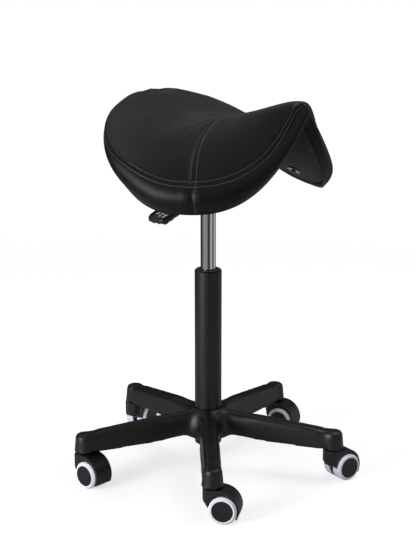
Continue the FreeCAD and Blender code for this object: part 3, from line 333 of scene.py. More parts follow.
def bell(distance, width):
    """A rounded hump of height 1: e to the power of minus the square of distance / width."""
    return np.exp(-(distance / width) ** 2)


# Saddle: its form as plain functions of the distance X along the stool, in millimetres

SEAT_FRONT = 211.0
SEAT_REAR = 142.0
SEAT_HALF = 206.0
WIDEST_X = -15.0
NOSE_POWER = 2.1

DIP_X = -40.0
RIDGE_LOW = 661.0
RIDGE_FRONT = 716.0
RIDGE_REAR = 706.0

FLAP_X = 98.0
FLAP_EDGE = 583.0
FLAP_FOOT = 531.0
FLAP_SPREAD = 176.0

PAD_FRONT = 48.0
PAD_MIDDLE = 58.0
REAR_FOOT_X = -104.0
FOOT_TOP = 640.0

CAVITY_FRONT = 203.5
CAVITY_REAR = -90.0
CAVITY_INSET = 8.5
CEILING = 14.4

# Radius of the round ridge at places along X, above and below
TOP_ROUNDING = ((-142.0, -15.0, 98.0, 211.0), (200.0, 120.0, 66.0, 38.0))
LOW_ROUNDING = ((-142.0, -15.0, 98.0, 211.0), (150.0, 90.0, 40.0, 12.0))

TOP_CROWN = 5.0
NOSE_PADDING = 3.0
NOSE_FALL = 5.0


def half_width(x):
    """Half of the width at the seam: a quarter ellipse behind the widest place, and a slightly
    squarer one, of the power 2.1, ahead of it."""
    behind = np.clip((WIDEST_X - x) / (SEAT_REAR + WIDEST_X), 0, 1)
    ahead = np.clip((x - WIDEST_X) / (SEAT_FRONT + 1.5 - WIDEST_X), 0, 1)
    return SEAT_HALF * np.where(
        x < WIDEST_X, np.sqrt(1 - behind ** 2), (1 - ahead ** NOSE_POWER) ** (1 / NOSE_POWER))


def ridge_height(x):
    """Top of the saddle on its middle line: it rises from the dip with the square of the
    distance to the rear, and with its power 1.5 to the nose."""
    behind = np.clip((DIP_X - x) / (DIP_X + SEAT_REAR), 0, 1)
    ahead = np.clip((x - DIP_X) / (SEAT_FRONT - DIP_X), 0, 1.02)
    return RIDGE_LOW + np.where(
        x < DIP_X, (RIDGE_REAR - RIDGE_LOW) * behind ** 2, (RIDGE_FRONT - RIDGE_LOW) * ahead ** 1.5)


def seam_height(x):
    """Height of the seam: on the flaps a sine of the half width, and behind them a rise with
    the power 1.75 of the distance, never above the ridge."""
    spread = np.clip(half_width(x) / FLAP_SPREAD, 0, 1)
    arch = RIDGE_FRONT - (RIDGE_FRONT - FLAP_EDGE) * np.sin(math.pi / 2 * spread)
    share = np.clip((FLAP_X - x) / (FLAP_X + SEAT_REAR), 0, 1)
    rise = FLAP_EDGE + (RIDGE_REAR - FLAP_EDGE) * share ** 1.75
    return np.where(x > FLAP_X, arch, np.minimum(rise, ridge_height(x) - 3.0))


def foot_half_width(x):
    """Half width of the lower edge: 3 mm inside the seam at the nose, 13 mm from the middle
    back, and an ellipse behind the widest place."""
    lean = np.clip((60.0 - x) / 75.0, 0, 1)
    share = np.clip((WIDEST_X - x) / (WIDEST_X - REAR_FOOT_X + 1.0), 0, 1)
    drawn = (SEAT_HALF - 13.0) * np.sqrt(1 - share ** 2)
    return np.where(x >= WIDEST_X, half_width(x) - 3.0 - 10.0 * lean, drawn)


def foot_height(x):
    """Height of the lower edge: a sine of its half width on the flaps, and behind them a rise
    with the power 2.4 of the distance, up to a level rear."""
    spread = np.clip(foot_half_width(x) / FLAP_SPREAD, 0, 1)
    top = RIDGE_FRONT - PAD_FRONT
    arch = top - (top - FLAP_FOOT) * np.sin(math.pi / 2 * spread)
    share = np.clip((FLAP_X - x) / 205.0, 0, 1)
    rise = np.minimum(FLAP_FOOT + 138.0 * share ** 2.4, FOOT_TOP)
    return np.where(x > FLAP_X, arch, rise)


def underside_ridge(x):
    """Height of the underside on the middle line: the ridge less a pad that thickens over
    150 mm from the nose, and at least 4 mm above the lower edge."""
    share = np.clip((SEAT_FRONT - x) / 150.0, 0, 1)
    pad = PAD_FRONT + (PAD_MIDDLE - PAD_FRONT) * share
    return np.maximum(ridge_height(x) - pad, foot_height(x) + 4.0)


def roof_height(x, y, ridge, edge, half, rounding, crown):
    """Height over Y of a round ridge with a straight flank down to each edge.

    The flank leaves the circle of the ridge where it is tangent to it and ends at the edge.
    Between them it bows out by the crown, as the square of the way down times the way left,
    less where the flank is short.
    """
    drop = np.maximum(ridge - edge, 1.0)
    half = np.maximum(half, 4.0)
    radius = np.minimum(np.interp(x, *rounding), 0.8 * (half ** 2 + drop ** 2) / (2 * drop))
    reach = np.hypot(half, radius - drop)
    lean = np.arctan2(half, radius - drop) - np.arccos(np.clip(radius / reach, -1, 1))
    leave = radius * np.sin(lean)
    across = np.abs(y)
    on_round = ridge - radius + np.sqrt(np.maximum(radius ** 2 - across ** 2, 0))
    on_flank = ridge - radius * (1 - np.cos(lean)) - (across - leave) * np.tan(lean)
    along = np.clip((across - leave) / np.maximum(half - leave, 1.0), 0, 1)
    bow = crown * 6.75 * along ** 2 * (1 - along) * np.clip((half - leave) / 70.0, 0, 1)
    return np.where(across < leave, on_round, on_flank + bow)


def nose_padding(x):
    """Extra height on the front of the ridge: it grows over 110 mm with the power 1.3 of the
    distance, and is gone again at the nose."""
    rise = np.clip((x - 70.0) / 110.0, 0, 1) ** 1.3
    return NOSE_PADDING * rise * (1 - np.clip((x - 185.0) / 27.0, 0, 1) ** 2)


def nose_drop(x):
    """How far the skin rounds off towards the nose: with the square of the last 60 mm."""
    return NOSE_FALL * np.clip((x - 150.0) / 60.0, 0, 1) ** 2


def top_height(x, y):
    """Height of the saddle's top: the roof from its ridge to its seam, less the nose's drop."""
    return roof_height(x, y, ridge_height(x) + nose_padding(x), seam_height(x), half_width(x),
                       TOP_ROUNDING, TOP_CROWN) - nose_drop(x)


def under_height(x, y):
    """Height of the saddle's underside: the plain roof from its ridge to its lower edge."""
    return roof_height(x, y, underside_ridge(x), foot_height(x), foot_half_width(x),
                       LOW_ROUNDING, 0.0)


# Cushion: its skin as rows of points, from the middle of its top, over the seam and the
# band, round the lower edge and into the cavity for the board. Each row goes round the
# cushion's centre in plan, with one column for each angle.

CENTRE_X = 20.0
COLUMNS = 480
BISECTIONS = 44

TOP_ROWS = 78
TOP_SPACING = 0.9
TOP_INSET = 16.0
EDGE_STEPS = (14.0, 11.5, 9.5, 8.0, 7.0, 6.2, 5.6, 5.0, 4.4, 3.6, 2.4, 1.2)
RIM_STEPS = (1.2, 2.4, 3.6, 4.4, 5.0, 5.6, 6.4, 8.0, 10.0)
BAND_ROWS = 16
BAND_BULGE = 13.0
CORNER_DROP = 1.6
CORNER_WIDTH = 6.0
# Share of the way from the lower edge to the cavity, and the fall below that way
HEM = ((0.04, -2.4), (0.0, 0.0), (0.12, 1.7), (0.35, 2.6), (0.65, 2.2), (1.0, 0.0))
WALL_RISES = (4.0, 9.0, CEILING)
CEILING_SHARES = (0.97, 0.85, 0.68, 0.5, 0.33, 0.17, 0.06)
SHOWN = ("top", "edge", "rim", "band")


def border_reach(half, front, rear, angles):
    """Distance from the plan's centre to the border |y| = half(x) at each angle, by halving
    the span between a point inside and one outside again and again."""
    low = np.zeros_like(angles)
    high = np.full_like(angles, 400.0)
    for _ in range(BISECTIONS):
        middle = (low + high) / 2
        x = CENTRE_X + middle * np.cos(angles)
        y = middle * np.sin(angles)
        inside = (x < front) & (x > rear) & (np.abs(y) < half(x))
        low = np.where(inside, middle, low)
        high = np.where(inside, high, middle)
    return low


def on_plan(reach, angles, height):
    """Points at a reach from the plan's centre at each angle, up at a height over X and Y."""
    x = CENTRE_X + reach * np.cos(angles)
    y = reach * np.sin(angles)
    return np.stack([x, y, height(x, y)], axis=-1)


def transverse_seam(y):
    """Place along X of the seam across the saddle: it curves forward with the square of the
    distance from the middle, a little less far out."""
    share = np.abs(y) / SEAT_HALF
    return 38.5 + 116.0 * share ** 2 - 8.0 * share ** 4


def bulged(seam, foot, out, share):
    """Points on the band: a share of the way down from seam to foot, bowed out as a parabola."""
    return seam + (foot - seam) * share + out * (BAND_BULGE * 4 * share * (1 - share))


def cushion_rows():
    """The cushion's skin as rows of points, and each row's part of the skin by name.

    The rows of the top and its edge shrink the seam's loop and stand on the top's height.
    Those of the rim and the band bow out between the seam and the lower edge. The corner at
    the seam is rounded off on both sides. The hem rolls under to the cavity, whose wall goes
    up to a ceiling that follows the underside.
    """
    angles = np.arange(COLUMNS) / COLUMNS * TAU
    seam_reach = border_reach(half_width, SEAT_FRONT + 5.0, -SEAT_REAR - 5.0, angles)
    foot_reach = border_reach(foot_half_width, SEAT_FRONT - 0.5, REAR_FOOT_X - 5.0, angles)
    cavity_reach = border_reach(lambda x: foot_half_width(x) - CAVITY_INSET,
                                CAVITY_FRONT, CAVITY_REAR, angles)
    seam = on_plan(seam_reach, angles, top_height)
    foot = on_plan(foot_reach, angles, under_height)
    cavity = on_plan(cavity_reach, angles, under_height)
    up = np.array([0.0, 0.0, 1.0])
    around = np.roll(seam, -1, axis=0) - np.roll(seam, 1, axis=0)
    out = unit(np.stack([around[:, 1], -around[:, 0], np.zeros(COLUMNS)], axis=-1))
    length = np.linalg.norm(foot - seam, axis=1)

    shares = np.linspace(0.0, 1.0, TOP_ROWS + 1)[1:, None] ** TOP_SPACING
    top = on_plan(shares * (seam_reach - TOP_INSET), angles, top_height)
    steps = np.array(EDGE_STEPS)[:, None]
    edge = on_plan(seam_reach - steps, angles, top_height)
    edge[..., 2] -= CORNER_DROP * np.clip(1 - steps / CORNER_WIDTH, 0, 1) ** 2
    steps = np.array(RIM_STEPS)[:, None, None]
    rounded = CORNER_DROP * np.clip(1 - steps / CORNER_WIDTH, 0, 1) ** 2
    rim = bulged(seam, foot, out, steps / length[:, None]) - out * rounded
    begin = (RIM_STEPS[-1] / length)[:, None]
    shares = np.linspace(0, 1, BAND_ROWS + 2)[1:-1, None, None]
    band = bulged(seam, foot, out, begin + (1 - begin) * shares)
    share, fall = np.array(HEM).T[:, :, None, None]
    hem = foot + (cavity - foot) * share - up * fall
    wall = cavity + up * np.array(WALL_RISES)[:, None, None]
    ceiling = on_plan(np.array(CEILING_SHARES)[:, None] * cavity_reach, angles, under_height)
    ceiling += up * CEILING
    parts = {"top": top, "edge": edge, "rim": rim, "band": band, "hem": hem, "wall": wall,
             "ceiling": ceiling}
    tags = np.repeat(list(parts), [len(part) for part in parts.values()])
    return np.concatenate(list(parts.values())), tags


def surface_normals(grid):
    """Unit normals of a closed grid, pointing out: the way down the rows crossed with the way
    round."""
    down = np.gradient(grid, axis=0)
    around = np.roll(grid, -1, axis=1) - np.roll(grid, 1, axis=1)
    return unit(np.cross(down, around))


# Padding: a cloth on every fourth column of the skin, blown up and held along its seams

CLOTH_STEP = 4
CLOTH_FRAMES = 20
CLOTH_PRESSURE = 4.0
CLOTH_CAP = 5.0
CLOTH_HELD = 6.0
POLE_STILL = 15.0
POLE_FADE = 45.0


def blown_up(points, faces, held):
    """Where a cloth's points go when pressure fills it and its held points stay."""
    trial = mesh_object("pad_trial", points, faces, None)
    group = trial.vertex_groups.new(name="held")
    group.add(held.tolist(), 1.0, "REPLACE")
    cloth = trial.modifiers.new("cloth", "CLOTH")
    cloth.settings.quality = 6
    cloth.settings.mass = 0.4
    cloth.settings.tension_stiffness = 20
    cloth.settings.compression_stiffness = 20
    cloth.settings.bending_stiffness = 1.5
    cloth.settings.use_pressure = True
    cloth.settings.uniform_pressure_force = CLOTH_PRESSURE
    cloth.settings.vertex_group_mass = "held"
    cloth.settings.effector_weights.gravity = 0
    for frame_number in range(1, CLOTH_FRAMES + 1):
        bpy.context.scene.frame_set(frame_number)
    graph = bpy.context.evaluated_depsgraph_get()
    swollen = bpy.data.meshes.new_from_object(trial.evaluated_get(graph))
    after = read_points(swollen) / MM
    bpy.data.objects.remove(trial)
    bpy.context.scene.frame_set(1)
    return after


def swelling(grid, tags, offset):
    """How far the padding swells out at each point of the grid, in millimetres.

    The cloth's movement is capped, faded out towards the middle of the top, evened twice with
    its neighbours round the row, and read between the cloth's points for the full grid.
    """
    soft = np.isin(tags, ("top", "band"))
    rows = np.where(~soft | (np.arange(len(tags)) % 2 == 0))[0]
    coarse = grid[rows][:, ::CLOTH_STEP]
    columns = coarse.shape[1]
    count = len(rows) * columns
    points = np.concatenate([coarse.reshape(-1, 3), coarse[:1].mean(axis=1),
                             coarse[-1:].mean(axis=1)])
    far = np.abs(offset[rows][:, ::CLOTH_STEP]) > CLOTH_HELD
    free = np.append((soft[rows][:, None] & far).reshape(-1), [True, False])
    after = blown_up(points, poled_faces(len(rows), columns), np.where(~free)[0])
    moved = (after - points)[:count]
    length = np.linalg.norm(moved, axis=1, keepdims=True)
    moved = moved * np.minimum(1.0, CLOTH_CAP / np.maximum(length, 1e-6))
    reach = np.hypot(points[:count, 0] - CENTRE_X, points[:count, 1])
    moved = moved * np.clip((reach - POLE_STILL) / POLE_FADE, 0, 1)[:, None]
    moved = moved.reshape(len(rows), columns, 3)
    for _ in range(2):
        moved = (moved * 2 + np.roll(moved, 1, axis=1) + np.roll(moved, -1, axis=1)) / 4
    full = np.zeros_like(grid)
    places = np.arange(COLUMNS) / CLOTH_STEP
    wrapped = np.concatenate([moved, moved[:, :1]], axis=1)
    for i in range(3):
        wide = np.stack([np.interp(places, np.arange(columns + 1), row)
                         for row in wrapped[..., i]])
        full[..., i] = np.stack([np.interp(np.arange(len(grid)), rows, column)
                                 for column in wide.T], axis=1)
    return full


# Upholstery: seams sewn into the padded skin

STRIP = 5.0
SEAM_LEAN = 0.86
SEAM_DEPTH = 1.5
SEAM_WIDTH = 2.4
PUFF = 0.8
PUFF_PLACE = 15.0
PUFF_WIDTH = 10.0
ROW_DEPTH = 0.9
ROW_WIDTH = 0.9
STRIP_LIFT = 0.45


def edge_distance(grid, tags):
    """Distance of each point from the skin's corner at the seam, along its own column."""
    distance = np.zeros(grid.shape[:2])
    distance[1:] = np.cumsum(np.linalg.norm(np.diff(grid, axis=0), axis=2), axis=0)
    corner = np.where(tags == "edge")[0][-1]
    return distance - (distance[corner] + EDGE_STEPS[-1])[None, :]


def seam_relief(across, edge):
    """How far the leather stands off along its normal, and how dark its folds are.

    A bell-shaped groove follows the seam across, and one each stitch row of the edge strip.
    The strip between the rows stands up, and the leather puffs beside the seam across. The
    folds' darkness is painted shade, deepest in the seam across and along the stitch rows.
    """
    push = -SEAM_DEPTH * bell(across, SEAM_WIDTH)
    # Painted shade of the folds: darkest in the groove across and along each stitch row
    shade = bell(across, 1.3)
    for line in (-STRIP, STRIP):
        push = push - ROW_DEPTH * bell(edge - line, ROW_WIDTH)
        shade = shade + 0.8 * bell(edge - line, 0.6)
    push = push + STRIP_LIFT * (np.abs(edge) < STRIP - 0.8)
    puff = PUFF * bell(np.abs(across) - PUFF_PLACE, PUFF_WIDTH)
    return push + puff * np.clip(1 - np.abs(push) / 3, 0, 1), shade


def add_cushion(material):
    """The upholstery: a crowned top sewn across, a stitched edge strip and a bulged band.

    The distance from the seam across is taken along X and leaned to be square to the seam.
    """
    grid, tags = cushion_rows()
    offset = grid[..., 0] - transverse_seam(grid[..., 1])
    grid = grid + swelling(grid, tags, offset)
    edge = edge_distance(grid, tags)
    relief, shade = seam_relief(offset * SEAM_LEAN, edge)
    shown = np.isin(tags, SHOWN)[:, None]
    moved = grid + surface_normals(grid) * (relief * shown)[..., None]
    middle = np.array([CENTRE_X])
    high = top_height(middle, np.zeros(1))[0]
    low = under_height(middle, np.zeros(1))[0] + CEILING
    poles = [(CENTRE_X, 0.0, high), (CENTRE_X, 0.0, low)]
    points = np.concatenate([moved.reshape(-1, 3), poles])
    faces = poled_faces(len(grid), COLUMNS)
    item = mesh_object("cushion_skin", points, faces, material)
    # The folds' painted shade, kept on the skin's points for the leather to darken by
    shading = item.data.attributes.new("seam_shade", "FLOAT", "POINT")
    values = np.append(np.clip(shade * shown, 0, 1).reshape(-1), [0.0, 0.0])
    shading.data.foreach_set("value", values.astype(np.float32))
    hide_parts("seat_cushion")
    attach(item, "seat")
    skin = BVHTree.FromPolygons(points.tolist(), faces)
    return grid, moved, edge, tags, skin


# Stitches. Real thread is about 0.8 mm thick, and is drawn at 1.2 mm so that it shows

STITCH_PITCH = 4.2
STITCH_RADIUS = 0.6
STITCH_SHARE = 0.74
STITCH_SUNK = 0.25
STITCH_LIFT = 0.15
STITCH_SIDES = 6
# Place along a stitch, from its middle, and share of its radius
STITCH_RINGS = ((-0.46, 0.6), (-0.36, 0.95), (0.0, 1.0), (0.36, 0.95), (0.46, 0.6))
AHEAD_OF_SEAM = 9.5
LINE_POINTS = 160


def one_stitch(length, radius):
    """A small round-ended stitch along X: rings of points, closed by a point at each end."""
    along, share = np.array(STITCH_RINGS).T[:, :, None]
    turn = -TAU * np.arange(STITCH_SIDES) / STITCH_SIDES
    rings = np.dstack([along * length + 0 * turn, radius * share * np.cos(turn),
                       radius * share * np.sin(turn)])
    ends = [(-0.5 * length, 0, 0), (0.5 * length, 0, 0)]
    return (np.concatenate([rings.reshape(-1, 3), ends]),
            poled_faces(len(STITCH_RINGS), STITCH_SIDES))


def stitched_line(line, normals, closed):
    """Stitches at an even pitch along a line of points on the skin.

    Each one's length lies along the line, its height along the skin's normal squared to the
    line, and its width along their cross product.
    """
    if closed:
        line = np.concatenate([line, line[:1]])
        normals = np.concatenate([normals, normals[:1]])
    lengths = np.append(0, np.cumsum(np.linalg.norm(np.diff(line, axis=0), axis=1)))
    count = int(lengths[-1] / STITCH_PITCH)
    at = (np.arange(count) + 0.5) / count * lengths[-1]

    def read(values, place):
        """Values at places along the line, read between its points."""
        return np.stack([np.interp(place, lengths, column) for column in values.T], axis=-1)

    way = unit(read(line, at + STITCH_RADIUS) - read(line, at - STITCH_RADIUS))
    up = read(normals, at)
    up = unit(up - way * np.sum(up * way, axis=1, keepdims=True))
    frames = np.stack([way, np.cross(up, way), up], axis=1)
    shape, faces = one_stitch(lengths[-1] / count * STITCH_SHARE, STITCH_RADIUS)
    middles = read(line, at) + up * STITCH_RADIUS * STITCH_SUNK
    return joined([(points, faces) for points in middles[:, None] + shape @ frames])


def laid_on(skin, line):
    """The skin's nearest points to a line, lifted a little along its normals, and the normals."""
    found = [skin.find_nearest(Vector(place)) for place in line]
    normals = np.array([normal for _, normal, _, _ in found])
    return np.array([place for place, _, _, _ in found]) + normals * STITCH_LIFT, normals


def line_along_edge(grid, edge, tags, level):
    """The line at an even distance from the edge, read between the rows of each column."""
    rows = np.isin(tags, ("edge", "rim", "band"))
    return np.array([[np.interp(level, edge[rows, j], grid[rows, j, i]) for i in range(3)]
                     for j in range(COLUMNS)])


def column_at(loop, ahead, side):
    """Broken column number where a loop's X lies a given distance ahead of the seam across:
    where that difference changes its sign, read between the two columns."""
    offset = loop[:, 0] - transverse_seam(loop[:, 1]) - ahead
    following = np.roll(offset, -1)
    crossing = np.where((offset * following < 0) & (np.sign(loop[:, 1]) == side))[0][0]
    return crossing + offset[crossing] / (offset[crossing] - following[crossing])


def line_across(grid, tags, ahead):
    """A line ahead of the seam across: up one band, over the top and down the other band."""
    corner = np.where(tags == "edge")[0][-1]
    sewn = np.isin(tags[corner:], ("edge", "rim", "band"))
    ends = []
    for side in (-1, 1):
        column = column_at(grid[corner], ahead, side)
        low = int(column) % COLUMNS
        share = column - int(column)
        down = grid[corner:, low] * (1 - share) + grid[corner:, (low + 1) % COLUMNS] * share
        ends.append(down[sewn])
    y = np.linspace(ends[0][0, 1], ends[1][0, 1], LINE_POINTS)[1:-1]
    x = transverse_seam(y) + ahead
    top = np.stack([x, y, top_height(x, y)], axis=-1)
    return np.concatenate([ends[0][::-1], top, ends[1]])


def add_stitches(grid, moved, edge, tags, skin, material):
    """Stitch rows on both sides of the edge strip and ahead of the seam across."""
    lines = [(line_along_edge(moved, edge, tags, level), True) for level in (-STRIP, STRIP)]
    lines.append((line_across(grid, tags, AHEAD_OF_SEAM), False))
    rows = [stitched_line(*laid_on(skin, line), closed) for line, closed in lines]
    item = mesh_object("seat_stitches", *joined(rows), material)
    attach(item, "seat")


# Lift handle: half its length, width and height, in millimetres

HANDLE_CENTRE = (0.0, -111.0, 506.8)
HANDLE_TILT = math.radians(19.0)
HANDLE_HALF = (30.0, 22.5, 6.5)
HANDLE_SIDES = 96
OUTLINE_POWER = 4.5
PANEL_DEPTH = 1.3
# Share of the outline, and height from the top face or from the middle plane
HANDLE_TOP = ((0.02, -1.3), (0.35, -1.3), (0.6, -1.3), (0.76, -1.3), (0.79, -1.1), (0.82, -0.2),
              (0.85, 0.0), (0.91, 0.0), (0.95, -0.5), (0.98, -1.6), (0.995, -3.2), (1.0, -6.0))
HANDLE_BELOW = ((0.995, -0.6), (0.97, -2.2), (0.92, -3.4), (0.84, -4.0), (0.7, -4.2),
                (0.55, -4.2), (0.4, -4.2), (0.25, -4.2), (0.1, -4.2), (0.02, -4.2))
SIGN_SHIFT = 17.0
SIGN_LIFT = 0.12
# Strokes of a stool, an arrow up and down, and a lower stool: corners and width
SIGN = (
    (((-14, -13), (-14, -4)), 2.4), (((-14, -8.5), (-5, -8.5)), 1.8),
    (((-5, -12.5), (-5, -4.5)), 1.8),
    (((-10, 0.5), (2, 0.5)), 1.6), (((-7, -1.8), (-10.4, 0.5), (-7, 2.8)), 1.5),
    (((-1, -1.8), (2.4, 0.5), (-1, 2.8)), 1.5),
    (((-6, 6), (-6, 14)), 2.4), (((-6, 10), (1, 10)), 1.8), (((1, 6.5), (1, 13.5)), 1.8))


def on_handle(points):
    """Points along, across and up from the handle, brought to their place on the stool."""
    along = np.array([0, -math.cos(HANDLE_TILT), -math.sin(HANDLE_TILT)])
    across = np.array([1.0, 0, 0])
    return points @ np.stack([along, across, np.cross(along, across)]) + np.array(HANDLE_CENTRE)


def add_handle(material):
    """Moulded paddle: a blunt oval in plan, a sunk panel on top and finger waves below.

    The outline is an ellipse of the power 4.5. Its shares stand at their own heights on top,
    and below at theirs plus two cosine waves that fade towards the rim.
    """
    turn = np.arange(HANDLE_SIDES) / HANDLE_SIDES * TAU
    cosine, sine = np.cos(turn), np.sin(turn)
    power = 2 / OUTLINE_POWER
    length = np.sign(cosine) * np.abs(cosine) ** power * HANDLE_HALF[0]
    width = np.sign(sine) * np.abs(sine) ** power * HANDLE_HALF[1]
    share, level = np.array(HANDLE_TOP).T[:, :, None]
    top = np.dstack([share * length, share * width, HANDLE_HALF[2] + level + 0 * turn])
    share, level = np.array(HANDLE_BELOW).T[:, :, None]
    along, across = share * length, share * width
    wave = 1.2 * np.cos(across / 11.5 * TAU) + 0.6 * np.cos(along / 14.0 * TAU)
    depth = level * 0.9 - 1.2 + wave * np.clip((1.0 - share) * 8 + 0.35, 0, 1)
    points, faces = closed_sweep(np.concatenate([top, np.dstack([along, across, depth])]))
    item = mesh_object("lift_handle", on_handle(points), faces, material)
    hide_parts("lever_handle")
    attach(item, "lever")


def stroke(corners, width):
    """A flat bent line: at each corner two points, half the width to both sides of its way."""
    corners = np.array(corners, dtype=float)
    ahead = unit(np.gradient(corners, axis=0))
    side = np.stack([-ahead[:, 1], ahead[:, 0]], axis=-1) * width / 2
    strip = np.stack([corners + side, corners - side], axis=1).reshape(-1, 2)
    level = HANDLE_HALF[2] - PANEL_DEPTH + SIGN_LIFT
    faces = [[2 * i, 2 * i + 1, 2 * i + 3, 2 * i + 2] for i in range(len(corners) - 1)]
    return np.column_stack([strip[:, 0] + SIGN_SHIFT, strip[:, 1], np.full(len(strip), level)]), faces


def add_sign(material):
    """A plain sign printed in the sunk panel: flat strokes just above its face."""
    points, faces = joined([stroke(corners, width) for corners, width in SIGN])
    item = mesh_object("handle_sign", on_handle(points), faces, material, smooth=False)
    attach(item, "lever")


# Base: the star as one moulding with blended corners, in millimetres

BASE_TURN = math.radians(25.2)
LEGS = 5
STEM_CIRCLE = 240.3
LEG_START = 18.0
LEG_SECTIONS = 24
LEG_HALF = 14.2
LEG_SPREAD = 0.1176
# Radius and height of the turned tip and hub
TIP_PROFILE = ((0, 62), (19.8, 62), (19.8, 64.6), (19.1, 65.4), (17.2, 88), (16.1, 92),
               (13.4, 95), (9.2, 96), (0, 96))
HUB_PROFILE = ((0, 62), (38, 62), (43, 66), (45, 78), (45, 92), (42.5, 100), (36.5, 111),
               (33, 117), (30, 120), (0, 120))
VOXEL = 2.4
BLEND_STEPS = 42
EVEN_STEPS = 2
RIB_PLACES = (84.0, 112.0, 140.0, 168.0, 196.0)
CHANNEL_HALF = 11.0
CHANNEL_ROOF = 6.0
BORE = 24.4
RING_REACH = 27.2
RING_LEVEL = 116.0
RING_SINK = 5.0


def leg_top(along):
    """Height of a leg's top: a straight fall of 21 mm from the hub to the stem."""
    return 117.0 - (along - 28.0) / (STEM_CIRCLE - 28.0) * 21.0


def leg_bottom(along):
    """Height of a leg's underside: a straight fall of 8 mm from the hub to the stem."""
    return 70.0 - (along - 49.0) / (STEM_CIRCLE - 49.0) * 8.0


def leg_form():
    """One leg as sections along its way out.

    The half section goes from the underside, whose half width grows with the leg's height, up
    a leaning side, over a rounding of 8 mm and down to a middle that is 1.1 mm hollow.
    """
    round_off = np.radians(np.linspace(0, 90, 6))
    rows = []
    for along in np.linspace(LEG_START, STEM_CIRCLE, LEG_SECTIONS):
        top = leg_top(along)
        low = leg_bottom(along)
        half = LEG_HALF + LEG_SPREAD * (top - low)
        x = np.concatenate([[half], 6.4 + 8 * np.cos(round_off), [4.0, 0.0]])
        z = np.concatenate([[low], top - 8 + 8 * np.sin(round_off), [top - 0.6, top - 1.1]])
        y = np.concatenate([x, -x[-2::-1]])
        height = np.concatenate([z, z[-2::-1]])
        rows.append(np.column_stack([np.full(len(y), along), y, height]))
    return closed_sweep(rows)


def turned_form(profile, at, sides=64):
    """A profile of radius and height turned about an upright axis at a distance."""
    turn = np.arange(sides) / sides * TAU
    radius, height = np.maximum(np.array(profile, dtype=float), 0.05).T[:, :, None]
    return closed_sweep(np.dstack([at + radius * np.cos(turn), radius * np.sin(turn),
                                   height + 0 * turn]))


def headed(form, heading):
    """A form turned about the column's axis to a heading."""
    points, faces = form
    cosine, sine = math.cos(heading), math.sin(heading)
    return points @ np.array([[cosine, sine, 0], [-sine, cosine, 0], [0, 0, 1]]), faces


def welded(points, faces):
    """One skin round overlapping closed forms, from a voxel remesh."""
    trial = mesh_object("star_trial", points, faces, None)
    remesh = trial.modifiers.new("remesh", "REMESH")
    remesh.mode = "VOXEL"
    remesh.voxel_size = VOXEL * MM
    graph = bpy.context.evaluated_depsgraph_get()
    skin = bpy.data.meshes.new_from_object(trial.evaluated_get(graph))
    bpy.data.objects.remove(trial)
    return skin


def read_points(mesh, kind="co"):
    """Places, in metres, or normals of a mesh's vertices."""
    values = np.zeros(len(mesh.vertices) * 3)
    mesh.vertices.foreach_get(kind, values)
    return values.reshape(-1, 3)


def blended(mesh, places, weight):
    """Places drawn towards the mean of their neighbours by their weight, step after step.

    In the first steps every place moves, which evens out the voxels.
    """
    edges = np.zeros(len(mesh.edges) * 2, dtype=np.int32)
    mesh.edges.foreach_get("vertices", edges)
    edges = edges.reshape(-1, 2)
    near, far = np.concatenate([edges, edges[:, ::-1]]).T
    count = len(places)
    neighbours = np.bincount(near, minlength=count)[:, None]
    for step in range(BLEND_STEPS):
        total = np.stack([np.bincount(near, weights=places[far, i], minlength=count)
                          for i in range(3)], axis=-1)
        gain = np.maximum(weight, 0.4) if step < EVEN_STEPS else weight
        places = places + (total / neighbours - places) * gain
    return places


def open_bore(mesh):
    """Cut a round hole through a mesh along the column's axis.

    The points within its radius go, the rims left are pushed onto the circle, and a wall is
    laid between them.
    """
    work = bmesh.new()
    work.from_mesh(mesh)
    inner = [v for v in work.verts if v.co.xy.length < BORE * MM]
    bmesh.ops.delete(work, geom=inner, context="VERTS")
    border = [e for e in work.edges if e.is_boundary]
    for vertex in {v for e in border for v in e.verts}:
        vertex.co.xy = vertex.co.xy.normalized() * BORE * MM
    bmesh.ops.bridge_loops(work, edges=border)
    bmesh.ops.recalc_face_normals(work, faces=work.faces)
    work.to_mesh(mesh)
    work.free()


